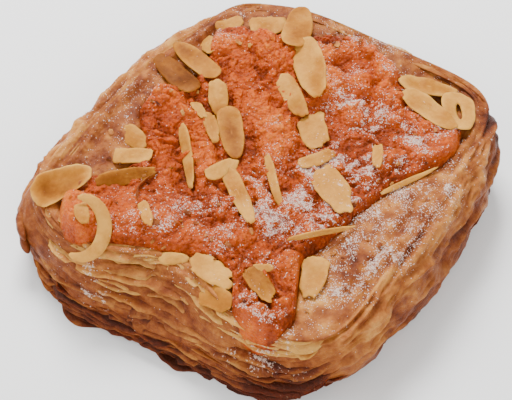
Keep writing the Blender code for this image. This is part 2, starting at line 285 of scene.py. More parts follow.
almond = {
    "thickness": 0.9, "taper": 0.22, "dust": 0.38,
    "slots": {"almond_east_split": (7.0, 1.6)},  # length and width of the gap in the middle
    # shift x, y and turn from the imported place, length share, width share, lift, roll, then how it looks:
    # ragged edge, toast, side curl, cup, bluntness (2 is an ellipse), how much paler its rim is, a painted
    # highlight along the edge
    "looks": {
        "almond_rim_low": (1.5, -1.3, 0, 0.9, 0.95, 0.6, 0, 0.03, 0.68, 0.03, 0.02, 2.6, 0.1),
        "almond_rim_high": (1.6, 0.2, 3, 0.88, 0.88, 1.4, -8, 0.03, 0.44, 0.06, 0.03, 2.4, 0.16),
        "almond_far_low": (2.3, 1.4, 7, 1.0, 1.1, 0.5, 10, 0.06, 0.2, 0.05, 0.03, 2.4, 0.08),
        "almond_far_high": (0.2, 0.2, 0, 0.92, 0.84, 1.9, 0, 0.03, 0.38, 0.02, 0.03, 2.4, 0.14),
        "almond_east_low": (-1.6, -1.7, -6, 1.0, 0.9, 0.5, 6, 0.04, 0.22, 0.03, 0.02, 2.5, 0.1),
        "almond_east_mid": (0.3, -0.4, 8, 1.0, 0.72, 1.2, 0, 0.04, 0.17, 0.03, 0.02, 2.4, 0.12),
        "almond_east_split": (-1.2, -2.2, 3, 0.96, 0.86, 1.9, 0, 0.02, 0.08, 0.02, 0.02, 2.4, 0.12),
        "almond_middle": (-1.0, 1.9, 0, 1.0, 1.0, 1.2, 10, 0.03, 0.46, 0.06, 0.03, 2.4, 0.14),
        "almond_centre": (-1.3, 3.8, 0, 0.95, 1.05, 0.8, 8, 0.1, 0.2, 0.02, 0.01, 3.0, 0.05),
        "almond_sugared": (-1.4, 1.2, 12, 1.12, 1.0, 0.7, 5, 0.08, 0.12, 0.03, 0.01, 2.5, 0.03),
        "almond_west": (1.4, 1.6, 126, 0.98, 0.85, 2.2, 20, 0.05, 0.5, 0.2, 0.02, 2.3, 0.42),
        "almond_west_small": (-2.0, 1.7, 11, 0.92, 0.95, 0.8, 12, 0.08, 0.10, 0.05, 0.01, 4.5, 0.05),
        "almond_front": (1.0, 0.2, 0, 1.0, 1.1, 0.7, -6, 0.14, 0.04, 0.05, 0.03, 2.8, 0.05),
        "almond_brown": (-2.2, 2.2, 0, 0.96, 1.05, 1.0, -8, 0.13, 0.52, 0.06, 0.03, 2.6, 0.08),
        "almond_south": (-1.6, 3.5, -10, 1.0, 0.95, 0.7, 6, 0.1, 0.12, 0.05, 0.02, 2.8, 0.1),
    },
}


def flakeFrame(node):
    # the flake's own axes from the spread of its points: the longest is its length, the shortest its normal
    mesh = nodes[node].data
    points = np.empty(len(mesh.vertices) * 3)
    mesh.vertices.foreach_get("co", points)
    points = np.unique(points.reshape(-1, 3).round(7), axis=0)
    middle = points.mean(0)
    _, axes = np.linalg.eigh(np.cov((points - middle).T))
    normal, side, along = axes.T
    normal = normal * np.sign(normal[2])
    local = (points - middle) @ np.array([along, side]).T
    if np.corrcoef(local[:, 0], np.abs(local[:, 1]))[0, 1] > 0:  # the narrow end points forwards
        along = -along
    side = np.cross(normal, along)
    local = (points - middle) @ np.array([along, side, normal]).T
    low, high = local.min(0), local.max(0)
    centre = middle + along * (low[0] + high[0]) / 2 + side * (low[1] + high[1]) / 2
    centre = centre + normal * (low[2] + almond["thickness"] * mm / 2)
    return centre, np.array([along, side, normal]), high[0] - low[0], high[1] - low[1]


def layDown(centre, along, length, width, lift, roll):
    # rests a flake on the surface: the plane that best fits the heights under it, turned about its length
    t, side = np.meshgrid(np.linspace(-0.42, 0.42, 9), np.linspace(-0.35, 0.35, 5))
    east = centre[0] + along[0] * t * length - along[1] * side * width
    north = centre[1] + along[1] * t * length + along[0] * side * width
    heights = openTop(east, north)
    columns = np.stack([t.ravel() * length, side.ravel() * width, np.ones(t.size)], -1)
    rise, bank, level = np.linalg.lstsq(columns, heights.ravel(), rcond=None)[0]
    axis = np.array([along[0], along[1], np.clip(rise, -0.5, 0.5)])
    axis = axis / np.linalg.norm(axis)
    across = np.array([-along[1], along[0], 0.6 * bank])
    normal = np.cross(axis, across)
    normal = normal / np.linalg.norm(normal)
    across = np.cross(normal, axis)
    angle = math.radians(roll)
    across, normal = (across * math.cos(angle) + normal * math.sin(angle),
                      normal * math.cos(angle) - across * math.sin(angle))
    return np.array([centre[0], centre[1], level + lift]), np.array([axis, across, normal])


# the filling's form

filling = {
    "edge": [(32, -8), (35, 2), (39, 11), (44, 20), (46.5, 29), (43, 38), (33, 43.5), (22, 48.5), (11, 52.5),
             (0, 55), (-10, 53), (-20, 47), (-30, 45), (-39.5, 43), (-42, 35), (-38, 25), (-37, 16), (-42, 7),
             (-44, 0), (-42, -8), (-36, -14), (-34.5, -22), (-36, -29), (-41, -36), (-43, -44), (-40, -50),
             (-33, -54.5), (-25, -52), (-15, -47.5), (-3, -44), (8, -43), (15, -46), (19, -52.5), (27, -56),
             (33, -53), (34.5, -46), (31, -38), (27, -29), (29, -19)],
    "cells": 306, "sink": 2.4, "base": -0.2, "creasePower": 6.0, "bed": 3.0,
    "floor": 17, "floorShare": 0.9,  # height of the hidden underside, and its share of the outline
    "wobble": 2.2, "lumpHeight": 1.12, "chunk": 0.9, "grain": 0.34,  # sizes of the relief's steps
    "lumps": [  # x, y, length, width, turn, height
        (-37, 1, 20, 12, -12, 5.2), (-27, -2, 18, 9, -30, 4.6), (-17, -11, 24, 10, -40, 5.6),
        (-33, -12, 20, 7, -36, 3.6), (-24, -19, 24, 6, -42, 3.8), (-20, -26, 20, 6, -50, 3.4),
        (-36, 34, 15, 13, -30, 5.4), (-27, 38, 13, 12, -50, 5.0), (-19, 36, 13, 15, -60, 5.0),
        (-27, 27, 16, 9, -35, 4.4), (-21, 18, 22, 9, -45, 4.6), (-9, 22, 14, 9, -30, 4.6),
        (-12, 13, 15, 10, -40, 4.8), (-2, 9, 20, 15, -30, 6.0), (-1, 2, 15, 7, -10, 4.6),
        (-6, 40, 13, 14, -40, 5.6), (1, 33, 14, 16, -40, 6.2), (-1, 46, 14, 9, 10, 5.0),
        (4, 51, 17, 8, -8, 5.2), (14, 46, 15, 8, -35, 5.6), (10, 38, 12, 9, -20, 5.0),
        (20, 38, 12, 10, -20, 5.0), (13, 28, 14, 11, 10, 5.0), (24, 31, 14, 9, -30, 4.6),
        (31, 34, 14, 9, -15, 4.4), (19, 21, 12, 8, -10, 3.4), (34, 24, 12, 9, 20, 4.2),
        (42, 30, 11, 12, 40, 4.4), (40, 20, 11, 10, 40, 4.4), (32, 14, 13, 10, 60, 4.4),
        (27, 5, 12, 9, 40, 3.8), (17, 8, 12, 9, -30, 3.6), (14, -1, 13, 9, -40, 4.2),
        (3, -6, 14, 8, -25, 4.4), (4, -14, 14, 8, -25, 4.6), (14, -12, 11, 9, -40, 4.2),
        (23, -10, 13, 8, -55, 4.0), (24, -20, 12, 8, 30, 4.0), (10, -22, 13, 8, -35, 4.2),
        (-4, -22, 13, 9, -45, 3.6), (-39, -35, 13, 9, -10, 3.6), (-28, -36, 12, 10, -20, 3.8),
        (-34, -47, 17, 16, 20, 6.2), (-22, -42, 12, 13, -40, 4.6), (-14, -39, 13, 12, -35, 4.8),
        (-3, -37, 12, 10, -40, 4.4), (6, -31, 13, 9, -15, 4.4), (16, -33, 10, 8, -30, 3.6),
        (26, -33, 12, 12, 20, 4.8), (21, -39, 10, 9, 0, 3.6), (20, -47, 8, 12, 10, 4.0),
        (30, -45, 8, 13, -15, 4.2), (26, -52, 13, 8, 10, 5.0),
    ],
}


def smoothLoop(radius, angle, at):
    # a closed curve r(angle) through the given points: Catmull-Rom between the four round each place
    order = np.argsort(angle)
    a, r = angle[order], radius[order]
    a = np.concatenate([a[-2:] - math.tau, a, a[:2] + math.tau])
    r = np.concatenate([r[-2:], r, r[:2]])
    i = np.clip(np.searchsorted(a, at, side="right") - 1, 1, len(a) - 3)
    t = (at - a[i]) / (a[i + 1] - a[i])
    slope1 = (r[i + 1] - r[i - 1]) / (a[i + 1] - a[i - 1]) * (a[i + 1] - a[i])
    slope2 = (r[i + 2] - r[i]) / (a[i + 2] - a[i]) * (a[i + 1] - a[i])
    return ((2 * t ** 3 - 3 * t ** 2 + 1) * r[i] + (t ** 3 - 2 * t ** 2 + t) * slope1
            + (3 * t ** 2 - 2 * t ** 3) * r[i + 1] + (t ** 3 - t ** 2) * slope2)


fillingEdge = np.array(filling["edge"], float) * mm
edgeAngle, edgeRadius = np.arctan2(fillingEdge[:, 1], fillingEdge[:, 0]), np.hypot(*fillingEdge.T)


def fillingReach(angle):
    # the filling's outline as a radius round the origin, with a small unevenness
    return smoothLoop(edgeRadius, edgeAngle, angle) + 0.5 * mm * np.sin(23 * angle) * np.sin(5 * angle)


def insideFilling(x, y):
    # depth inside the filling's outline in metres along the radius; below 0 outside
    return fillingReach(np.arctan2(y, x)) - np.hypot(x, y)


def fillingRelief(x, y):
    # half ellipsoids joined by a soft maximum, then cell-shaped grains; the second value is painted light:
    # high on the lumps' tops, low in the creases between them, where painted shade falls
    wobble = [filling["wobble"] * mm * layeredNoise(x, y, 0 * x, 9 * mm, seed) for seed in (3, 4)]
    wx, wy = x + wobble[0], y + wobble[1]
    power = filling["creasePower"]
    total = (filling["bed"] + 0.9 * layeredNoise(x, y, 0 * x, 7 * mm, 9, 2)) ** power  # between the lumps
    for cx, cy, length, width, turn, height in filling["lumps"]:
        c, s = math.cos(math.radians(turn)), math.sin(math.radians(turn))
        east, north = wx / mm - cx, wy / mm - cy
        along, across = (east * c + north * s) / (length / 2), (north * c - east * s) / (width / 2)
        total = total + (height * np.sqrt(np.clip(1.15 - along ** 2 - across ** 2, 0, 1))) ** power
    lumps = filling["lumpHeight"] * total ** (1 / power)
    near, second = cellNoise(wx, wy, 3.9 * mm, 5)
    chunks = filling["chunk"] * (ramp(second - near, 0.0, 0.7) - 0.6)
    chunks = chunks * (1 + 0.8 * layeredNoise(x, y, 0 * x, 11 * mm, 10, 1))
    near, second = cellNoise(x + 0.3 * wobble[1], y, 1.2 * mm, 6)
    grains = filling["grain"] * (1 - near ** 1.5) * (0.6 + 0.8 * layeredNoise(x, y, 0 * x, 4 * mm, 11, 1))
    fine = 0.15 * layeredNoise(x, y, lumps * mm, 0.8 * mm, 7, 2)
    fine = fine + 0.55 * layeredNoise(x, y, 0 * x, 5 * mm, 8, 3)
    # painted light and shade: the higher the relief, the lighter the filling's colour, so its creases are
    # painted dark
    openness = -0.12 + 0.155 * lumps + 0.22 * chunks + 0.35 * (grains - 0.2) + 0.10 * fine
    return lumps + chunks + grains + fine, np.clip(openness, 0, 1)


def bareTop(x, y):
    # the skin's level, plus the relief faded in over the first millimetres from the edge
    relief, openness = fillingRelief(x, y)
    inside = insideFilling(x, y) / mm
    fade = np.sqrt(ramp(inside, -0.2, 3.0))
    z = skinLevel(x, y) + mm * (-filling["sink"] * (1 - fade) + fade * (filling["base"] + relief))
    return z, openness


def openTop(x, y):
    # whichever shows on top: the filling or the skin
    return np.maximum(bareTop(x, y)[0], skinLevel(x, y))


def settleFlakes():
    # each whole flake is laid on the shown surface beside its packed place
    frames = {}
    for node, look in almond["looks"].items():
        centre, axes, length, width = flakeFrame(node)
        shiftX, shiftY, turn, lengthShare, widthShare, lift, roll = look[:7]
        angle = math.atan2(axes[0][1], axes[0][0]) + math.radians(turn)
        centre = centre + mm * np.array([shiftX, shiftY, 0])
        length, width = length * lengthShare, width * widthShare
        place = layDown(centre, (math.cos(angle), math.sin(angle)), length, width, lift * mm, roll)
        frames[node] = (*place, length, width, look[7:])
    return frames


flakeFrames = settleFlakes()
print(len(flakeFrames), "whole flakes laid down")


def fillingTop(x, y):
    # the shown surface, held within about a millimetre of the lower face of each whole flake that lies on it:
    # that face is a plane plus cup (2x/L)^2 and curl (2y/W)^2
    z, openness = bareTop(x, y)
    for centre, axes, length, width, look in flakeFrames.values():
        dx, dy = x - centre[0], y - centre[1]
        planeZ = centre[2] - (axes[2][0] * dx + axes[2][1] * dy) / axes[2][2]
        along = axes[0][0] * dx + axes[0][1] * dy + axes[0][2] * (planeZ - centre[2])
        across = axes[1][0] * dx + axes[1][1] * dy + axes[1][2] * (planeZ - centre[2])
        bend = look[3] * length * (2 * along / length) ** 2 + look[2] * width * (2 * across / width) ** 2
        lower = planeZ + bend - 0.6 * mm
        inside = ramp(1.15 - (2 * along / length) ** 2 - (2 * across / width) ** 2, 0.0, 0.5)
        z = mix(z, np.clip(z, lower - 1.2 * mm, lower), inside)
    return z, openness


# sugar

sugar = {
    "spots": [  # x, y, radius, strength
        (24, -5, 13, 0.60), (29, 9, 13, 0.60), (10, -17, 12, 0.40), (20, 24, 14, 0.40), (-2, 6, 11, 0.2),
        (38, -20, 11, 0.45), (40, -36, 8, 0.35), (34, -50, 7, 0.35), (-52, -8, 16, 0.22), (0, 58, 18, 0.35),
        (-44, 42, 12, 0.35), (10, 32, 10, 0.3), (-8, -34, 12, 0.35), (24, -52, 8, 0.35), (14, -35, 9, 0.45),
        (-24, -60, 13, 0.38), (38, 24, 10, 0.45), (-22, -27, 9, 0.25), (4, -6, 12, 0.25), (16, 8, 9, 0.35),
        (52, -8, 12, 0.35), (54, 14, 10, 0.3),
    ],
    "everywhere": 0.09, "drift": 0.9, "driftSize": 5,  # a thin cover, and how it drifts together
    "grains": 17000, "grainSize": (0.08, 0.25), "fineness": 2.5, "gather": 1.8, "spread": 0.12, "seed": 12,
}


def sugarShare(x, y):
    # how thickly the sugar lies: bells of dusting over a thin cover, broken up by drifts
    total = sugar["everywhere"] + sum(bell(x, y, spot) for spot in sugar["spots"])
    drift = layeredNoise(x, y, 0 * x, sugar["driftSize"] * mm, 90)
    return np.clip(total * (1 + sugar["drift"] * drift), 0, 1)


scorched = (48, 50, 5, 0.45)  # x, y, radius, strength


def scorch(x, y):
    # how much darker the baking has left the far right corner: a bell
    return bell(x, y, scorched)


# materials

def newMaterial(name):
    # a new material with its node tree and its shader
    material = bpy.data.materials.new(name)
    material.use_nodes = True
    tree = material.node_tree
    return material, tree, tree.nodes["Principled BSDF"]


def colourRamp(tree, value, stops):
    # a colour for each value: straight between the stops, each a place and a linear colour
    item = tree.nodes.new("ShaderNodeValToRGB")
    elements = item.color_ramp.elements
    while len(elements) < len(stops):
        elements.new(0.5)
    for element, (place, colour) in zip(elements, stops):
        element.position = place
        element.color = (*colour, 1)
    tree.links.new(value, item.inputs["Fac"])
    return item.outputs["Color"]


def mark(tree, name):
    # one of the numbers that each point of the piece carries
    item = tree.nodes.new("ShaderNodeAttribute")
    item.attribute_name = name
    return item.outputs["Fac"]


def noise(tree, scale, detail=3.0, roughness=0.55, distortion=0.0, stretch=(1, 1, 1)):
    # a noise pattern in the piece's own place; scale is in bumps per metre
    place = tree.nodes.new("ShaderNodeTexCoord")
    turn = tree.nodes.new("ShaderNodeMapping")
    turn.inputs["Scale"].default_value = stretch
    item = tree.nodes.new("ShaderNodeTexNoise")
    settings = {"Scale": scale, "Detail": detail, "Roughness": roughness, "Distortion": distortion}
    for socket, value in settings.items():
        item.inputs[socket].default_value = value
    tree.links.new(place.outputs["Object"], turn.inputs["Vector"])
    tree.links.new(turn.outputs["Vector"], item.inputs["Vector"])
    return item.outputs["Fac"]


def granules(tree, scale):
    # distance to the nearest of many scattered points, in the piece's own place; scale is in points per metre
    place = tree.nodes.new("ShaderNodeTexCoord")
    item = tree.nodes.new("ShaderNodeTexVoronoi")
    item.feature = "SMOOTH_F1"
    item.inputs["Scale"].default_value = scale
    item.inputs["Smoothness"].default_value = 0.4
    tree.links.new(place.outputs["Object"], item.inputs["Vector"])
    return item.outputs["Distance"]


def maths(tree, operation, *values, clamp=False):
    # one sum on values and plain numbers; MULTIPLY_ADD is a b + c
    item = tree.nodes.new("ShaderNodeMath")
    item.operation = operation
    item.use_clamp = clamp
    for socket, value in zip(item.inputs, values):
        if isinstance(value, (int, float)):
            socket.default_value = value
        else:
            tree.links.new(value, socket)
    return item.outputs["Value"]


def shifted(tree, base, pattern, strength):
    # base + strength (pattern - 0.5)
    return maths(tree, "MULTIPLY_ADD", maths(tree, "SUBTRACT", pattern, 0.5), strength, base)


def blendColour(tree, share, first, second):
    # first (1 - share) + second share
    item = tree.nodes.new("ShaderNodeMix")
    item.data_type = "RGBA"
    for socket, value in ((item.inputs[0], share), (item.inputs[6], first), (item.inputs[7], second)):
        if isinstance(value, tuple):
            socket.default_value = value
        else:
            tree.links.new(value, socket)
    return item.outputs[2]


def bumpNode(tree, height, distance, shader, strength=1.0):
    # tilts the shading by the slope of height times distance
    item = tree.nodes.new("ShaderNodeBump")
    item.inputs["Distance"].default_value = distance
    item.inputs["Strength"].default_value = strength
    tree.links.new(height, item.inputs["Height"])
    tree.links.new(item.outputs["Normal"], shader.inputs["Normal"])


def setShader(shader, **values):
    # plain values straight on the shader's sockets: Base_Color is the socket Base Color
    for name, value in values.items():
        shader.inputs[name.replace("_", " ")].default_value = value


tones = {  # by toast for the crust and the almonds, by painted light for the filling: lighter on its lumps, painted shade in its creases
    "crust": [(0.0, (0.56, 0.265, 0.060)), (0.25, (0.40, 0.146, 0.031)), (0.45, (0.275, 0.081, 0.017)),
              (0.65, (0.175, 0.041, 0.010)), (0.82, (0.098, 0.020, 0.006)), (1.0, (0.045, 0.010, 0.004))],
    # the filling's low stops are painted shade for the creases between the lumps
    "filling": [(0.0, (0.13, 0.018, 0.002)), (0.25, (0.27, 0.036, 0.004)), (0.5, (0.43, 0.066, 0.006)),
                (0.8, (0.54, 0.101, 0.008)), (1.0, (0.62, 0.155, 0.012))],
    "almond": [(0.0, (0.58, 0.285, 0.055)), (0.35, (0.37, 0.142, 0.016)), (0.6, (0.22, 0.068, 0.008)),
               (0.85, (0.11, 0.030, 0.005)), (1.0, (0.050, 0.015, 0.004))],
    "grain": [(0.3, (0.62, 0.48, 0.41)), (0.7, (0.86, 0.78, 0.72))],
    "fineSugar": (0.63, 0.46, 0.37, 1),
}


def dustOver(tree, colour):
    # fine sugar: it covers by 10 (0.6 dust + 0.9 drift - 0.4 - 2.2 speck + 0.6), held to 0..1, times 7 dust
    dust = mark(tree, "dust")
    specks = maths(tree, "MULTIPLY_ADD", noise(tree, 1250, 3.0, 0.75), 2.2, -0.6)
    drifts = maths(tree, "MULTIPLY_ADD", noise(tree, 300, 4.0, 0.65), 0.9, -0.40)
    level = maths(tree, "MULTIPLY_ADD", dust, 0.60, drifts)
    over = maths(tree, "SUBTRACT", level, specks)
    share = maths(tree, "MULTIPLY", over, 10.0, clamp=True)
    share = maths(tree, "MULTIPLY", share, maths(tree, "MULTIPLY", dust, 7.0, clamp=True))
    share = maths(tree, "MULTIPLY", share, 0.80)
    return blendColour(tree, share, colour, tones["fineSugar"]), share


def makeCrustMaterial():
    # colour by toast + 0.9 (blotch - 0.5) + 0.35 (streak - 0.5), sugar over it, rougher where the sugar lies;
    # relief: pores + 0.6 grit + 0.9 flat layers
    material, tree, shader = newMaterial("golden_crust")
    toast = mark(tree, "toast")
    blotch = noise(tree, 260, 4.0, 0.6)
    streak = noise(tree, 900, 3.0, 0.6, 0.6)
    value = shifted(tree, shifted(tree, toast, blotch, 0.9), streak, 0.35)
    colour, share = dustOver(tree, colourRamp(tree, value, tones["crust"]))
    tree.links.new(colour, shader.inputs["Base Color"])
    rough = maths(tree, "MULTIPLY_ADD", share, 0.35, 0.34)
    tree.links.new(rough, shader.inputs["Roughness"])
    setShader(shader, Subsurface_Weight=0.12, Subsurface_Radius=(0.0016, 0.0008, 0.0003),
              Subsurface_Scale=1.0, Coat_Weight=0.0, Specular_IOR_Level=0.09)
    height = maths(tree, "MULTIPLY_ADD", noise(tree, 1500, 4.0, 0.65), 0.6, noise(tree, 420, 3.0, 0.6))
    layers = noise(tree, 800, 4.0, 0.6, 0.5, (0.3, 0.3, 1.3))
    height = maths(tree, "MULTIPLY_ADD", layers, 0.9, height)
    bumpNode(tree, height, 0.0006, shader, 0.85)
    return material


def makeLeafMaterial():
    # colour by toast + 0.5 (streak - 0.5) + 0.9 (blotch - 0.5), sugar over it; streaks run along the leaf
    material, tree, shader = newMaterial("flaky_leaf")
    toast = mark(tree, "toast")
    streak = noise(tree, 700, 4.0, 0.65, 0.4, (0.45, 0.45, 1.6))
    blotch = noise(tree, 240, 4.0, 0.6)
    value = shifted(tree, shifted(tree, toast, streak, 0.5), blotch, 0.9)
    colour, _ = dustOver(tree, colourRamp(tree, value, tones["crust"]))
    tree.links.new(colour, shader.inputs["Base Color"])
    setShader(shader, Roughness=0.44, Subsurface_Weight=0.22, Subsurface_Radius=(0.0018, 0.0009, 0.0003),
              Subsurface_Scale=1.0, Specular_IOR_Level=0.10)
    bumpNode(tree, noise(tree, 1100, 4.0, 0.65, 0.3), 0.0006, shader, 0.85)
    return material


def makeFillingMaterial():
    # colour by painted light (lighter on the lumps, painted shade in the creases) + 0.7 (blotch - 0.5) + 0.6
    # (grain - 0.5), sugar over it, rougher where that lies;
    # relief: 0.6 grit less the distance to the nearest granule
    material, tree, shader = newMaterial("orange_filling")
    # painted light: this mark is high on the lumps and low in the creases, where it paints shade
    openness = mark(tree, "open")
    blotch = noise(tree, 330, 4.0, 0.6)
    grain = noise(tree, 1000, 3.0, 0.6)
    value = shifted(tree, shifted(tree, openness, blotch, 0.7), grain, 0.6)
    colour, share = dustOver(tree, colourRamp(tree, value, tones["filling"]))
    tree.links.new(colour, shader.inputs["Base Color"])
    rough = maths(tree, "MULTIPLY_ADD", share, 0.4, 0.36)
    tree.links.new(rough, shader.inputs["Roughness"])
    setShader(shader, Subsurface_Weight=0.28, Subsurface_Radius=(0.0022, 0.0008, 0.0003),
              Subsurface_Scale=1.0, Coat_Weight=0.03, Coat_Roughness=0.2, Specular_IOR_Level=0.12)
    height = maths(tree, "MULTIPLY", granules(tree, 950), -1.0)
    height = maths(tree, "MULTIPLY_ADD", noise(tree, 1500, 3.0, 0.65), 0.6, height)
    bumpNode(tree, height, 0.0011, shader, 1.0)
    return material


def makeAlmondMaterial():
    # colour by toast + 0.4 (fleck - 0.5), sugar over it
    material, tree, shader = newMaterial("flaked_almond_flesh")
    toast = mark(tree, "toast")
    value = shifted(tree, toast, noise(tree, 600, 4.0, 0.6), 0.4)
    colour, _ = dustOver(tree, colourRamp(tree, value, tones["almond"]))
    tree.links.new(colour, shader.inputs["Base Color"])
    setShader(shader, Roughness=0.5, Subsurface_Weight=0.3, Subsurface_Radius=(0.0016, 0.0011, 0.0006),
              Subsurface_Scale=1.0, Specular_IOR_Level=0.04)
    bumpNode(tree, noise(tree, 900, 3.0, 0.6), 0.0002, shader, 0.6)
    return material


def makeSugarMaterial():
    # nearly white, a little uneven from grain to grain
    material, tree, shader = newMaterial("icing_sugar")
    colour = colourRamp(tree, noise(tree, 1500), tones["grain"])
    tree.links.new(colour, shader.inputs["Base Color"])
    setShader(shader, Roughness=0.6, Subsurface_Weight=0.2, Subsurface_Radius=(0.0006, 0.0005, 0.0004))
    return material


crustMaterial = makeCrustMaterial()
leafMaterial = makeLeafMaterial()
fillingMaterial = makeFillingMaterial()
almondMaterial = makeAlmondMaterial()
sugarMaterial = makeSugarMaterial()
print("materials made")


# the crust: one closed skin over the whole pastry

crust = {
    "baseShare": 0.95,  # the flat underside stops just inside the foot
    "innerShare": 0.62,  # where the fine rows of the top end
    "rise": 30.0, "height": 26.0,  # millimetres up the side, for the patterns and for the toast
    # how far the relief stands out, in millimetres
    "creases": 1.15, "billow": 1.5, "setBack": 1.2, "coreLayers": 0.6, "coreGrit": 0.25,
    "swell": 0.9, "blister": 0.24, "pucker": 0.20, "foldLine": 1.1, "ridge": 0.6,
    # toast: a level, and how much the foot or the crest adds to it
    # the cut sides' dark level is painted shade for the gaps between the leaves, where the core shows
    "foldToast": (0.46, 0.50), "cutToastAndShade": (0.84, -0.34), "skinToast": 0.47, "baseToast": 0.85,
    "paleCorner": (36, -46, 12, 0.20),  # x, y, radius, strength
    "dust": {"top": 0.72, "side": 0.85},
}


def crustGrid():
    # rows run from the middle underneath, out to the foot, up the side to the crest and in over the top;
    # with each row come its kind (0 under, 1 side, 2 top), its climb up the side and its share of the crest
    d = dough
    angle = np.linspace(-math.pi, math.pi, d["columns"], endpoint=False)[None, :]
    footX, footY = outline(angle, d["foot"])
    footX, footY = footX * crust["baseShare"], footY * crust["baseShare"] - 0.0001
    out = np.linspace(0, 1, d["baseRows"] + 1)[1:, None]
    base = np.stack(np.broadcast_arrays(footX * out, footY * out, 0.0 * out), -1)
    climb = np.linspace(0.02, 1, d["sideRows"])
    side = np.stack(np.broadcast_arrays(*sideSurface(angle, climb[:, None])), -1)
    crestX, crestY = outline(angle, d["crest"])
    cx, cy = (mm * v for v in d["crest"]["centre"])
    inner = crust["innerShare"]
    inward = np.concatenate([np.linspace(1, inner, d["topRows"] + 1)[1:],
                             np.linspace(inner, 0, d["innerRows"] + 1)[1:-1]])
    topX, topY = cx + (crestX - cx) * inward[:, None], cy + (crestY - cy) * inward[:, None]
    under = d["underFilling"] * mm * ramp(insideFilling(topX, topY) / mm, -0.5, 2.5)
    top = np.stack([topX, topY, skinLevel(topX, topY) - under], -1)
    kind = np.repeat([0, 1, 2], [len(base), len(side), len(top)])[:, None]
    climb = np.concatenate([np.zeros(len(base)), climb, np.ones(len(top))])[:, None]
    share = np.concatenate([np.zeros(len(base) + len(side)), inward])[:, None]
    return np.concatenate([base, side, top]), angle, kind, climb, share


def crustRelief(points, angle, kind, climb, share):
    # how far each point stands out in millimetres, and how toasted it is
    c = crust
    x, y, z = points[..., 0], points[..., 1], points[..., 2]
    px, py, rise = x / mm, y / mm, climb * c["rise"]
    onSide, onTop = (kind == 1).astype(float), (kind == 2).astype(float)
    cut = cutShare(angle)
    between = onSide * ramp(climb, 0.0, 0.1) * (1 - ramp(climb, 0.9, 1.0))
    # folded sides: crossing wrinkles and billows, drawn out of noise stretched round the pastry
    warp = 4.0 * softNoise(px / 34, py / 34, rise / 20, 31) + 1.8 * softNoise(px / 11, py / 11, rise / 6, 30)
    creases = 1 - 2 * np.abs(softNoise(px / 12, py / 12, (rise + warp) / 3.0, 32))
    creases += 0.6 * (1 - 2 * np.abs(softNoise(px / 5, py / 5, (rise + warp) / 1.5, 33)))
    wrinkle = c["creases"] * creases * (1 - cut) * between
    billow = c["billow"] * layeredNoise(px / 15, py / 15, (rise + warp) / 9, 1.0, 34, 2)
    billow = billow * onSide * (1 - ramp(climb, 0.85, 1.0))
    # cut sides: the core stays back, so that the leaves stand out of it, and is layered itself
    core = c["coreLayers"] * (1 - 2 * np.abs(softNoise(px / 14, py / 14, (rise + 0.5 * warp) / 1.2, 29)))
    core += c["coreGrit"] * layeredNoise(px / 3, py / 3, rise / 1.2, 1.0, 26, 2)
    back = (core - c["setBack"]) * cut * between
    # top skin: gentle swells, blisters, fine puckers, and a fold line just inside the crest
    swell = c["swell"] * layeredNoise(x, y, z, 14 * mm, 35, 3)
    near, _ = cellNoise(x + 0.4 * mm * swell, y, 2.3 * mm, 36)
    blister = c["blister"] * ramp(0.5 - near, 0, 0.4) * ramp(layeredNoise(x, y, z, 9 * mm, 37), -0.1, 0.5)
    pucker = c["pucker"] * layeredNoise(x, y, z, 2.2 * mm, 38, 3)
    line = share + 0.02 * softNoise(px / 12, py / 12, 0, 28)
    foldLine = c["foldLine"] * (np.exp(-((line - 0.955) / 0.02) ** 2) - np.exp(-((line - 0.90) / 0.018) ** 2))
    foldLine = foldLine * (1 - cut) * (0.6 + 0.6 * softNoise(px / 9, py / 9, 0, 27))
    skin = (swell + blister + pucker + foldLine) * onTop
    ridge = c["ridge"] * np.exp(-((climb - 0.97) / 0.03) ** 2) * (1 - cut) * onSide
    # toast: darker towards the foot, with bands and patches; on the folded sides the raised wrinkles are
    # painted paler and the furrows darker, painted highlight and painted shade
    height = np.clip(z / (c["height"] * mm), 0, 1)
    band = softNoise(px / 22, py / 22, (rise + warp) / 2.6, 42)
    patches = softNoise(px / 12, py / 12, rise / 6, 44) + 0.6 * softNoise(px / 5, py / 5, rise / 3, 45)
    level, foot = c["foldToast"]
    # painted light and shade: - 0.21 creases makes the raised wrinkles paler and the furrows between them
    # darker
    onFold = level + foot * (1 - height) + 0.08 * band - 0.21 * creases * (1 - cut) + 0.20 * patches
    # painted shade: the core that shows in the gaps between the leaves is dark, and darker where its layers
    # lie back (- 0.2 core); it is darker low down as well
    level, crest = c["cutToastAndShade"]
    onCut = level + crest * height + 0.12 * band - 0.2 * core
    onSkin = c["skinToast"] + 0.16 * layeredNoise(x, y, z, 12 * mm, 41)
    onSkin = onSkin + 0.22 * layeredNoise(x, y, z, 3 * mm, 43) - 0.2 * blister
    onSkin = onSkin + 0.10 * ramp(-x, 20 * mm, 50 * mm) + 0.10 * ramp(y, 30 * mm, 55 * mm)
    onSkin = onSkin - bell(x, y, c["paleCorner"])
    toast = np.where(onTop > 0, onSkin, np.where(onSide > 0, mix(onFold, onCut, cut), c["baseToast"]))
    return wrinkle + billow + back + skin + ridge, toast + scorch(x, y)


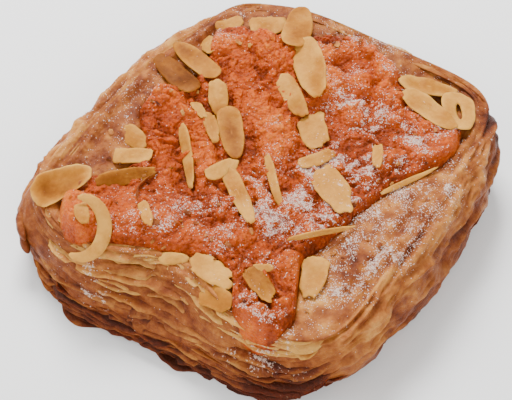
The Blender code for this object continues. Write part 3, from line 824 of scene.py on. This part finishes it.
def makeCrust():
    # every point of the grid goes out along its normal by its relief, which fades out over the lowest 1.2 mm
    smoothed, angle, kind, climb, share = crustGrid()
    normal = gridNormals(smoothed)
    relief, toast = crustRelief(smoothed, angle, kind, climb, share)
    x, y, z = smoothed[..., 0], smoothed[..., 1], smoothed[..., 2]
    points = smoothed + normal * (mm * relief * ramp(z, 0.0, 1.2 * mm))[..., None]
    points[..., 2] = np.maximum(points[..., 2], 0)
    facing = np.clip(normal[..., 2], 0, 1) ** 1.5
    dust = sugarShare(x, y) * facing * np.where(kind == 2, crust["dust"]["top"], crust["dust"]["side"])
    rows, columns = points.shape[:2]
    cx, cy = (mm * v for v in dough["crest"]["centre"])
    poles = [[0, 0, 0], [cx, cy, mm * (dough["hollowHeight"] - dough["underFilling"])]]
    shape = Shape()
    shape.add(np.concatenate([points.reshape(-1, 3), poles]),
              [gridFaces(rows, columns, wrapColumns=True)] + poleFans(rows * columns, columns),
              toast=np.append(toast, [0.8, 0.4]), dust=np.append(dust, [0, 0]))
    shape.piece("crust", crustMaterial, "dough")
    grainBeds.append((points, gridNormals(points), dust * ramp(-insideFilling(x, y) / mm, -1.5, 0.0)))


grainBeds = []  # surfaces that the sugar grains are set on: points, normals, how dusty
makeCrust()


# leaves: thin sheets that stand out of the cut sides

leaves = {  # from and to in degrees round, low and high as shares of the side's height, the rest in mm
    "front": {"from": -160, "to": -28, "count": 28, "spacing": 0.52, "low": 0.03, "high": 0.975,
              "reach": 0.15},
    "far": {"from": 30, "to": 152, "count": 18, "spacing": 0.62, "low": 0.03, "high": 0.96, "reach": 0.2},
    "east": {"from": -44, "to": 44, "count": 8, "spacing": 0.55, "low": 0.02, "high": 0.38, "reach": 0.1},
    "west": {"from": 136, "to": 224, "count": 8, "spacing": 0.55, "low": 0.02, "high": 0.38, "reach": 0.1},
    "thickness": (0.44, 0.12), "inner": 3.6, "steps": 6, "group": 5, "step": 0.8, "droop": 1.25, "torn": 1.5,
    # degrees, spread, reach of the lips of the two lowest leaves, and of the dent above them
    "lips": [(-130, 7, -4.0), (-114, 6.5, 5.0), (-83, 7.5, 4.0)], "lipLeaves": 2, "dent": (-131, 7, 2.6),
    "toast": {"crest": 0.10, "foot": 0.68, "right": 0.34, "low": 0.10, "nearCorner": 0.2},
}


def leafReach(side, number, angle, seed):
    # how far the leaf stands out, in millimetres: its place in its group, then slow, middle and fine noise,
    # less the torn places and the dent; the lowest leaves follow the lips instead
    around = angle * 57.0
    if number < leaves["lipLeaves"]:
        reach = 0.2 + 0.4 * softNoise(around / 9, seed, 0, 58) + 0.2 * softNoise(around / 3, seed, 0, 59)
        for lip in leaves["lips"]:
            reach = reach + bump(angle, lip) * (1 - 0.45 * number)
        return reach
    part = number / (side["count"] - 1)
    group = (number % leaves["group"]) / (leaves["group"] - 1)  # in a group each higher leaf lies further in
    reach = side["reach"] + leaves["step"] * (0.5 - group) + 0.35 * cornerNumber(seed, 3, 5, 50)
    reach = reach + 1.0 * softNoise(around / 24, seed, 0, 53) + 0.45 * softNoise(around / 7, seed, 0, 54)
    reach += 0.28 * softNoise(around / 2.4, seed, 0, 55) + 0.12 * softNoise(around / 1.0, seed, 0, 56)
    reach -= leaves["torn"] * ramp(softNoise(around / 5.0, seed, 0, 57), 0.4, 0.6)
    reach += (0.7 * ramp(part, 0.0, 0.2) - bump(angle, leaves["dent"])) * (1 - part)
    return reach


def leafToast(x, y, h, around, seed):
    # how toasted the leaf is along its edge, by its share h of the height: darker low down and to the right
    tone = leaves["toast"]
    toast = tone["crest"] + tone["foot"] * (1 - h) + 0.14 * softNoise(around / 14, seed, 0, 65)
    toast = toast + 0.10 * softNoise(around / 3, seed, 0, 66)
    toast = toast + 0.24 * softNoise(around / 13, h * 2.6, 4, 68)
    toast = toast + tone["right"] * ramp(x, 0, 35 * mm) * ramp(1 - h, 0.08, 0.35)
    toast = toast + tone["low"] * ramp(1 - h, 0.55, 0.9)
    toast = toast + tone["nearCorner"] * ramp(x, 20 * mm, 34 * mm) * ramp(h, 0.75, 0.95)
    return toast + scorch(x, y)


def leafSheet(shape, side, number, seed):
    # a ribbon: for each step round the side a thin section runs from inside the dough to the ragged edge, t
    # from 0 to 1; its height follows the leaf's own level, plus curl t^2.5 and waves t^2
    count = side["count"]
    start, end = math.radians(side["from"]), math.radians(side["to"])
    columns = int((end - start) * 60 / side["spacing"])
    angle = np.linspace(start, end, columns)
    around = angle * 57.0
    part = number / (count - 1)
    level = mix(side["low"], side["high"], part)
    shared = 1.3 * softNoise(around / 30, part * 2.5, 0, 51) + 0.5 * softNoise(around / 11, part * 3, 0, 60)
    own = 0.5 * cornerNumber(seed, 7, 1, 50) + 0.7 * softNoise(around / 22, seed, 0, 67)
    own = own + 0.35 * softNoise(around / 8, seed, 0, 52)
    level = level + own / count + 0.028 * shared * np.sin(math.pi * part)
    level = np.clip(level, 0.015, 0.985)
    x, y, z = sideSurface(angle, level)
    ox, oy = outwards(angle)
    # the leaf draws back into the dough at its two ends, and higher up on a folded side
    first, last = (0.22 + 0.16 * cornerNumber(seed, k, 2, 50) for k in (1, 2))
    ends = ramp(angle, start + 0.4 * first, start + 2 * first)
    ends = ends * (1 - ramp(angle, end - 2 * last, end - 0.4 * last))
    cut = cutShare(angle + 0.12 * cornerNumber(seed, 9, 4, 50))
    folded = (1 - cut) * ramp(part * (side["high"] - side["low"]) + side["low"], 0.22, 0.4)
    inner = leaves["inner"]
    reach = mix(-inner * 0.85, leafReach(side, number, angle, seed), ends * (1 - folded))
    reach = np.maximum(reach, -inner * 0.85)
    t = np.linspace(0, 1, leaves["steps"])[:, None]
    out = mm * (-inner + (inner + reach)[None, :] * t)
    droop = leaves["droop"] * ramp(part, 0.1, 0.45) * (0.75 + 0.75 * softNoise(around / 15, seed, 0, 69))
    curl = 0.8 * softNoise(around / 12, seed, 0, 61) + 0.5 * softNoise(around / 4, seed, 0, 62) - 0.25 - droop
    wave = 0.45 * softNoise(around / 3.4, t * 2.0, seed, 63)
    wave = wave + 0.2 * softNoise(around / 1.3, t * 3.0, seed, 64)
    middle = z[None, :] + mm * ends * (1 - 0.7 * folded) * (curl * t ** 2.5 + wave * t ** 2)
    thick = mm * mix(*leaves["thickness"], t ** 0.7) / 2
    px, py = x + ox * out, y + oy * out
    lower = np.maximum(middle - thick, 0.05 * mm)
    upper = np.maximum(middle + thick, 0.05 * mm + 2 * thick)
    loop = np.concatenate([np.stack([px, py, lower], -1), np.stack([px, py, upper], -1)[::-1]])
    rows, steps = len(loop), np.arange(leaves["steps"] - 1)
    cap = np.stack([steps, steps + 1, rows - 2 - steps, rows - 1 - steps], -1) * columns
    h = np.clip(z / (25 * mm), 0, 1)
    # painted shade: the leaf darkens deeper into the dough by 0.24 (1 - t^2), the shade between the leaves,
    # and is paler at its outer edge by 0.16 t^6
    toast = leafToast(x, y, h, around, seed)[None, :] - 0.16 * t ** 6 + 0.24 * (1 - t ** 2)
    dust = sugarShare(px, py) * ramp(h[None, :] + 0 * t, 0.15, 0.6)
    # painted shade: the lower face carries toast + 0.10, darker under each leaf
    shape.add(loop, [gridFaces(rows, columns, wrapRows=True), cap[:, ::-1], cap + columns - 1],
              toast=np.concatenate([toast + 0.10, toast[::-1]]), dust=np.concatenate([0 * dust, dust[::-1]]))


for sideNumber, sideName in enumerate(("front", "far", "east", "west")):
    shape = Shape()
    for number in range(leaves[sideName]["count"]):
        leafSheet(shape, leaves[sideName], number, 3 + 40 * sideNumber + number)
    shape.piece("leaves_" + sideName, leafMaterial, None)


# rolled edges at the near left corner

def tubeShape(shape, path, side, half, thick, toast, dust, spokes=24):
    # a closed oval section carried along a path: path + side half cos(a) + up thick sin(a), where up is
    # the path's direction x side
    tangent = np.gradient(path, axis=0)
    tangent /= np.linalg.norm(tangent, axis=1, keepdims=True)
    side = side - tangent * (side * tangent).sum(1, keepdims=True)
    side /= np.linalg.norm(side, axis=1, keepdims=True)
    up = np.cross(tangent, side)
    spin = np.linspace(0, math.tau, spokes, endpoint=False)[None, :, None]
    points = path[:, None] + side[:, None] * half[:, None, None] * np.cos(spin)
    points = points + up[:, None] * thick[:, None, None] * np.sin(spin)
    rows, columns = points.shape[:2]
    tone = toast + 0.14 * layeredNoise(points[..., 0], points[..., 1], points[..., 2], 2.5 * mm, 86)
    shape.add(np.concatenate([points.reshape(-1, 3), path[[0, -1]]]),
              [gridFaces(rows, columns, True)] + poleFans(rows * columns, columns),
              toast=np.append(tone, [toast, toast]), dust=dust)


rolls = [  # from, to, bow outwards, half width, half height in millimetres, toast
    ((-56.4, -46.6, 15.4), (-49.4, -54.8, 13.4), 1.0, 1.5, 2.0, 0.70),
    ((-54.0, -48.6, 11.6), (-47.6, -56.4, 10.2), 1.0, 1.6, 1.8, 0.76),
]


def makeRolls():
    # each roll runs between its ends, s from -1 to 1, with a bow of b (1 - s^2) and a size of sqrt(1 - s^2)
    shape = Shape()
    for start, end, bow, half, thick, toast in rolls:
        s = np.linspace(-0.99, 0.99, 50)
        path = mix(np.array(start), np.array(end), (s[:, None] + 1) / 2) * mm
        side = np.broadcast_to([-0.7071, -0.7071, 0.0], path.shape)  # out of the near left corner
        path = path + side * (bow * mm * (1 - s ** 2))[:, None]
        size = mm * np.sqrt(1 - s ** 2) * (1 + 0.15 * softNoise(3 * s, toast, 0, 85))
        tubeShape(shape, path, side, half * size, thick * size, toast, 0.05)
    shape.piece("corner_rolls", crustMaterial, None)


makeRolls()


# the filling

def makeFilling():
    # a square grid: the larger of |a|, |b| is the share of the outline's radius, their direction the angle;
    # from its rim a wall goes down and in to a flat underside
    n = filling["cells"]
    a, b = np.meshgrid(np.linspace(-1, 1, n + 1), np.linspace(-1, 1, n + 1))
    share, angle = np.maximum(np.abs(a), np.abs(b)), np.arctan2(b, a)
    radius = share * fillingReach(angle)
    x, y = radius * np.cos(angle), radius * np.sin(angle)
    z, openness = fillingTop(x, y)
    points = np.stack([x, y, z], -1)
    across, up = np.gradient(points, axis=1), np.gradient(points, axis=0)
    normal = np.cross(across, up)
    normal /= np.maximum(np.linalg.norm(normal, axis=-1, keepdims=True), 1e-12)
    dust = sugarShare(x, y) * np.clip(normal[..., 2], 0, 1) ** 1.3 * ramp(openness, 0.1, 0.5)
    flat = points.reshape(-1, 3)
    count, k = len(flat), np.arange(n)
    rim = np.concatenate([k, (k + 1) * (n + 1) - 1, count - 1 - k, (n - k) * (n + 1)])
    below = flat[rim] * (filling["floorShare"], filling["floorShare"], 1)
    below[:, 2] = filling["floor"] * mm
    ring = np.arange(len(rim))
    after = np.roll(ring, -1)
    wall = np.column_stack([rim, count + ring, count + after, rim[after]])
    bottom = fanFaces(count + len(rim), count + ring, False)
    hidden = np.zeros(len(rim) + 1)
    shape = Shape()
    shape.add(np.concatenate([flat, below, [[0, 0, filling["floor"] * mm]]]),
              [gridFaces(n + 1, n + 1), wall, bottom],
              open=np.append(openness, hidden), dust=np.append(dust, hidden))
    shape.piece("fruit_filling", fillingMaterial, "filling")
    grainBeds.append((points, normal, dust))


makeFilling()


# the flakes themselves

def blunt(wave, power):
    # a sine or cosine made squarer: its size raised to 2 / power, its sign kept
    return np.sign(wave) * np.abs(wave) ** (2 / power)


def flakeShape(shape, centre, axes, length, width, look, seed, slot=None, thickness=None,
               rings=14, spokes=96):
    # a blunt oval disc: x = L/2 cos^(2/p), y = W/2 sin^(2/p) (1 - taper cos), bent up at its ends by
    # cup (2x/L)^2 and at its sides by curl (2y/W)^2; half its thickness is T/2 sqrt(1 - share^8), which
    # rounds the edge; with a slot the inner ring is an oval gap with a wall of its own
    ragged, toastLevel, sideCurl, cup, power, rim = look
    thickness = thickness or almond["thickness"]
    spin = np.linspace(0, math.tau, spokes, endpoint=False)[None, :]
    c, s = np.cos(spin), np.sin(spin)
    uneven = softNoise(2.2 * c + seed, 2.2 * s, 0, 71) + 0.6 * softNoise(6 * c, 6 * s + seed, 0, 72)
    uneven = 1 - 0.5 * ragged + ragged * uneven
    share = np.linspace(0, 1, rings + 1)[1:, None] ** 0.8
    outerX = length / 2 * blunt(c, power) * uneven
    outerY = width / 2 * blunt(s, power) * (1 - almond["taper"] * c) * uneven
    edge = np.sqrt(np.clip(1 - share ** 8, 0, 1))
    if slot:
        inner = (share - share[0]) / (1 - share[0])
        x, y = mix(slot[0] / 2 * mm * c, outerX, inner), mix(slot[1] / 2 * mm * s, outerY, inner)
        edge = edge * np.sqrt(np.clip(1 - (1 - share + share[0]) ** 16, 0.02, 1))
    else:
        x, y = outerX * share, outerY * share
    half = thickness * mm / 2 * (edge * (0.8 + 0.2 * (1 - share ** 2)) + 0.04)
    bend = cup * length * (2 * x / length) ** 2 + sideCurl * width * (2 * y / width) ** 2
    bend = bend + 0.45 * mm * softNoise(x / (4 * mm) + seed, y / (4 * mm), 0, 73) * min(1, length / (10 * mm))
    bend = bend + 0.08 * mm * layeredNoise(x, y, 0 * x + seed, 1.2 * mm, 74, 2)
    rows, columns = x.shape
    points = np.concatenate([np.stack([x, y, bend + half], -1), np.stack([x, y, bend - half], -1)[::-1]])
    points, total = points.reshape(-1, 3), 2 * rows * columns
    if slot:
        wall = gridFaces(2, columns, wrapColumns=True)
        extra = [np.where(wall >= columns, wall - columns, wall + total - columns)[:, ::-1]]
    else:
        poles = [[0, 0, bend[0].mean() + half[0].mean()], [0, 0, bend[0].mean() - half[0].mean()]]
        points, extra = np.concatenate([points, poles]), poleFans(total, columns, True)
    world = centre + points @ axes
    # painted highlight: the rim is paler by rim share^5
    toast = toastLevel - rim * share ** 5 + 0.16 * softNoise(x / (5 * mm), y / (3.5 * mm), seed, 75)
    toast = toast + 0.12 * c * share * cornerNumber(seed, 1, 1, 76) + 0.08 * (1 - share ** 2)
    upper = world[:rows * columns]
    dust = (sugarShare(upper[:, 0], upper[:, 1]) * almond["dust"]).reshape(rows, columns)
    dust = dust * np.clip(axes[2][2], 0, 1)
    polesToast, polesDust = ([], []) if slot else ([toastLevel] * 2, [0] * 2)
    # painted shade: the lower face carries toast + 0.05, darker under the flake
    shape.add(world, [gridFaces(2 * rows, columns, wrapColumns=True)[:, ::-1]] + extra,
              toast=np.append(np.concatenate([toast, toast[::-1] + 0.05]), polesToast),
              dust=np.append(np.concatenate([dust, 0 * dust]), polesDust))


for number, (node, (centre, axes, length, width, look)) in enumerate(flakeFrames.items()):
    shape = Shape()
    flakeShape(shape, centre, axes, length, width, look, 5 + number, almond["slots"].get(node))
    shape.piece(node + "_flake", almondMaterial, node)


# slivers: flakes that are part sunk in the filling, seen half covered or on edge

slivers = {  # from (x, y) to (x, y), width, lift in millimetres, roll in degrees, toast
    "west_patch": (-43.5, -13.7, -33, -15.1, 6.6, 0.4, 5, 0.22),
    "fold": (-36.5, -36, -25, -21.5, 5.0, 0.6, 35, 0.46),
    "long_left": (-27.5, -4.5, -12, -23, 4.2, 0.8, 25, 0.20),
    "middle_top": (-11, -18, -7, -6.5, 5.0, 0.7, 10, 0.16),
    "long_middle": (-9.5, -10, 9.5, -25.5, 5.2, 0.9, 14, 0.18),
    "short_left": (-21, -35.5, -12.5, -43, 3.4, 0.9, 15, 0.20),
    "pip_front": (-8.5, -46.7, 0, -43.6, 3.4, 0.6, 5, 0.10),
    "front_low": (7.5, -49, 18.5, -51.3, 7.0, 0.8, -12, 0.30),
    "broken_middle": (-28.5, 16, -21.5, 6, 6.0, 1.0, 8, 0.26),
    "middle_left": (-24.5, 4, -16, -4.5, 4.2, 0.8, 10, 0.24),
    "left_pip": (-29.8, 5, -23.5, 1.3, 4.0, 0.7, 0, 0.22),
    "pip_middle": (9.4, 0.4, 16.2, 10, 4.6, 0.8, 15, 0.18),
    "south_edge": (20.8, -26, 33.4, -10.6, 1.7, 1.7, 20, 0.06),
    "east_edge": (34.5, 3.4, 44, 19.2, 1.6, 1.1, 20, 0.08),
    "pip_south": (17.6, -39.4, 22.6, -36.4, 2.6, 0.9, 20, 0.20),
    "pip_east": (25, 19, 30.8, 8, 3.6, 0.7, 12, 0.16),
    "streak": (-1, -0.8, 12.4, -15, 2.8, 0.7, 20, 0.14),
    "half_covered": (-13, 28.5, 1, 18.7, 6.0, 0.7, 10, 0.22),
    "far_patch": (-34, 43.5, -24.5, 52.5, 9.4, 0.6, 0, 0.16),
    "rim_pip": (-44.2, 33.3, -36.2, 25.7, 5.2, 0.6, 0, 0.22),
    "rim_patch": (-44, 39, -38, 47.6, 5.6, 0.4, 0, 0.22),
    "crescent_middle": (-34, -46.5, -28.5, -51.5, 4.0, 0.5, 0, 0.20),
}
sliverLook = {"ragged": 0.08, "curl": 0.03, "cup": 0.02, "bluntness": 3.0, "rimHighlight": 0.05}
crescent = {"centre": (-30.2, -51.6, 28.3), "radii": (6.6, 8.2), "turn": 31, "tilt": 38,
            "from": 98, "to": -118, "width": 4.2, "thickness": 0.9, "toast": 0.04}
skinCurl = {"from": (-24.9, -22.0), "to": (-22.4, -35.5), "bow": 2.2, "bowTo": (-1.0, -0.2), "lift": 0.9,
            "lean": (0.5, 0.1, 0.86), "half": (0.8, 0.22), "toast": 0.62}
crumbs = {"count": 110, "size": (0.9, 2.8), "widths": (0.4, 0.9), "shares": (0.55, 0.985), "lift": 0.35,
          "tilt": 14, "toast": (0.1, 0.75), "curl": (-0.1, 0.2), "thickness": 0.3, "seed": 21}


def smooth(values, reach):
    # the mean of each value and the ones beside it, the ends repeated
    padded = np.pad(values, reach, mode="edge")
    return np.convolve(padded, np.full(2 * reach + 1, 1 / (2 * reach + 1)), "valid")


def makeSlivers():
    # each sliver is a flake laid down between its two ends; the filling's lumps half cover it
    shape = Shape()
    look = sliverLook
    for number, (x1, y1, x2, y2, width, lift, roll, toast) in enumerate(slivers.values()):
        x1, y1, x2, y2, width, lift = (v * mm for v in (x1, y1, x2, y2, width, lift))
        length = math.hypot(x2 - x1, y2 - y1)
        along = ((x2 - x1) / length, (y2 - y1) / length)
        place = layDown(((x1 + x2) / 2, (y1 + y2) / 2), along, length, width, lift, roll)
        own = (look["ragged"], toast, look["curl"], look["cup"], look["bluntness"], look["rimHighlight"])
        flakeShape(shape, *place, length, width, own, 60 + number)
    crescentShape(shape)
    shape.piece("almond_slivers", almondMaterial, None)


def crescentShape(shape):
    # a flake's rim that shows round a lump: part of an ellipse in a tilted plane, as wide as sin(pi s)^0.45
    c = crescent
    s = np.linspace(0.004, 0.996, 90)
    angle = np.radians(mix(c["from"], c["to"], s))
    turn, tilt = math.radians(c["turn"]), math.radians(c["tilt"])
    right = np.array([math.cos(turn), math.sin(turn), 0])
    up = np.array([-math.sin(turn) * math.cos(tilt), math.cos(turn) * math.cos(tilt), math.sin(tilt)])
    side = np.cos(angle)[:, None] * right + np.sin(angle)[:, None] * up
    path = mm * (np.array(c["centre"]) + c["radii"][0] * np.cos(angle)[:, None] * right
                 + c["radii"][1] * np.sin(angle)[:, None] * up)
    half = mm * c["width"] / 2 * np.sin(math.pi * s) ** 0.45
    thick = mm * c["thickness"] / 2 * np.minimum(1, half / mm)
    tubeShape(shape, path, side, half, thick, c["toast"], 0.1)


def makeCrumbs():
    # broken bits of leaf on the skin, each at a random direction and share of the crest's outline
    rng = np.random.default_rng(crumbs["seed"])
    shape = Shape()
    cx, cy = (mm * v for v in dough["crest"]["centre"])
    low, high = crumbs["size"]
    for number in range(crumbs["count"]):
        angle, turn = rng.uniform(0, math.tau, 2)
        share = rng.uniform(*crumbs["shares"])
        edgeX, edgeY = outline(angle, dough["crest"])
        length = mm * (low + (high - low) * rng.random() ** 2)
        width = length * rng.uniform(*crumbs["widths"])
        spot = (cx + (edgeX - cx) * share, cy + (edgeY - cy) * share)
        along = (math.cos(turn), math.sin(turn))
        place = layDown(spot, along, length, width, crumbs["lift"] * mm, rng.normal(0, crumbs["tilt"]))
        look = (0.25, rng.uniform(*crumbs["toast"]), rng.uniform(*crumbs["curl"]), 0.08, 3.0, 0.05)
        flakeShape(shape, *place, length, width, look, 100 + number, None, crumbs["thickness"], 4, 18)
    curlShape(shape)
    shape.piece("pastry_crumbs", leafMaterial, None)


def curlShape(shape):
    # the loose curl of skin: a thin strip on edge, bowed by b sin(pi s) and lifted by 0.4 + 0.6 sin(pi s)
    c = skinCurl
    s = np.linspace(0.01, 0.99, 60)
    start, end = (np.array(c[key]) for key in ("from", "to"))
    bow = c["bow"] * np.sin(math.pi * s)
    flat = mix(start, end, s[:, None]) + np.array(c["bowTo"]) * bow[:, None]
    z = smooth(openTop(*(flat.T * mm)), 12) + mm * c["lift"] * (0.4 + 0.6 * np.sin(math.pi * s))
    path = np.column_stack([flat * mm, z])
    side = np.broadcast_to(c["lean"], path.shape)
    size = mm * np.sin(math.pi * s) ** 0.4
    tubeShape(shape, path, side, c["half"][0] * size, c["half"][1] * size, c["toast"], 0.1, 16)


makeSlivers()
makeCrumbs()


# sugar grains

def makeGrains():
    # each grain is an eight-sided stone of size low + (high - low) r^fineness; its chance of lying at a point
    # is area dust^gather
    rng = np.random.default_rng(sugar["seed"])
    places, normals, weights = [], [], []
    for points, normal, dust in grainBeds:
        across, up = np.gradient(points, axis=1), np.gradient(points, axis=0)
        area = np.linalg.norm(np.cross(across, up), axis=-1)
        places.append(points.reshape(-1, 3))
        normals.append(normal.reshape(-1, 3))
        weights.append((area * dust ** sugar["gather"]).ravel())
    places, normals, weights = np.concatenate(places), np.concatenate(normals), np.concatenate(weights)
    count = sugar["grains"]
    chosen = rng.choice(len(places), count, p=weights / weights.sum())
    low, high = sugar["grainSize"]
    size = mm * (low + (high - low) * rng.random(count) ** sugar["fineness"])[:, None, None]
    corners = np.array([[1, 0, 0], [0, 1, 0], [-1, 0, 0], [0, -1, 0], [0, 0, 1], [0, 0, -1]], float)
    turn = rng.normal(size=(count, 3, 3))
    turn, _ = np.linalg.qr(turn)
    stones = np.einsum("kj,nji->nki", corners, turn) * size * rng.uniform(0.6, 1.2, (count, 6, 1))
    middle = places[chosen] + normals[chosen] * (0.2 * size[:, 0])
    middle = middle + rng.normal(0, sugar["spread"] * mm, (count, 3)) * (1, 1, 0)
    points = middle[:, None, :] + stones
    ring = np.arange(4)
    face = np.concatenate([fanFaces(4, ring, True), fanFaces(5, ring, False)])[:, [1, 2, 0]]
    flip = np.linalg.det(turn) < 0
    faces = np.where(flip[:, None, None], face[:, ::-1], face) + 6 * np.arange(count)[:, None, None]
    shape = Shape()
    shape.add(points, [faces.reshape(-1, 3)])
    shape.piece("sugar_dust", sugarMaterial, None)


makeGrains()


# floor, light and camera

stage = {"half": 1.5, "colour": (0.86, 0.86, 0.86, 1), "rough": 0.9,
         "sky": (1.0, 0.99, 0.97, 1), "skyStrength": 0.9}
lights = {  # place and size in metres
    "key": {"place": (-0.30, 0.34, 0.62), "size": 0.30, "watts": 11.0},
    "fill": {"place": (0.50, -0.55, 0.50), "size": 0.60, "watts": 5.0},
    "side": {"place": (-0.60, -0.40, 0.35), "size": 0.50, "watts": 3.0},
}
camera = {"turn": 31, "rise": 50, "distance": 0.360, "target": (-0.00028, -0.0078, 0.0135),
          "lens": 85.64, "sensor": 36}


def makeStage():
    # one square floor at height 0 and an even pale sky
    mesh = bpy.data.meshes.new("floor")
    half = stage["half"]
    corners = [(-half, -half, 0), (half, -half, 0), (half, half, 0), (-half, half, 0)]
    mesh.from_pydata(corners, [], [(0, 1, 2, 3)])
    floor = bpy.data.objects.new("floor", mesh)
    bpy.context.scene.collection.objects.link(floor)
    material, _, shader = newMaterial("pale_floor")
    setShader(shader, Base_Color=stage["colour"], Roughness=stage["rough"], Specular_IOR_Level=0.1)
    mesh.materials.append(material)
    world = bpy.data.worlds.new("studio")
    world.use_nodes = True
    background = world.node_tree.nodes["Background"]
    background.inputs["Color"].default_value = stage["sky"]
    background.inputs["Strength"].default_value = stage["skyStrength"]
    bpy.context.scene.world = world


def aim(item, target):
    # turned so that its -Z axis points at the target
    item.rotation_mode = "QUATERNION"
    item.rotation_quaternion = (Vector(target) - item.location).to_track_quat("-Z", "Y")


def makeLights():
    # soft square lamps, each turned to a point just above the floor's middle
    for name, light in lights.items():
        lamp = bpy.data.lights.new(name, "AREA")
        lamp.energy, lamp.size = light["watts"], light["size"]
        item = bpy.data.objects.new(name, lamp)
        bpy.context.scene.collection.objects.link(item)
        item.location = light["place"]
        aim(item, (0, 0, 0.01))


def makeCamera():
    # from the target, distance along (sin turn cos rise, -cos turn cos rise, sin rise)
    lens = bpy.data.cameras.new("camera")
    lens.lens, lens.sensor_width, lens.clip_start = camera["lens"], camera["sensor"], 0.01
    item = bpy.data.objects.new("camera", lens)
    bpy.context.scene.collection.objects.link(item)
    turn, rise = math.radians(camera["turn"]), math.radians(camera["rise"])
    back = (math.sin(turn) * math.cos(rise), -math.cos(turn) * math.cos(rise), math.sin(rise))
    item.location = [t + camera["distance"] * b for t, b in zip(camera["target"], back)]
    aim(item, camera["target"])
    bpy.context.scene.camera = item


makeStage()
makeLights()
makeCamera()
print("floor, lights and camera made")
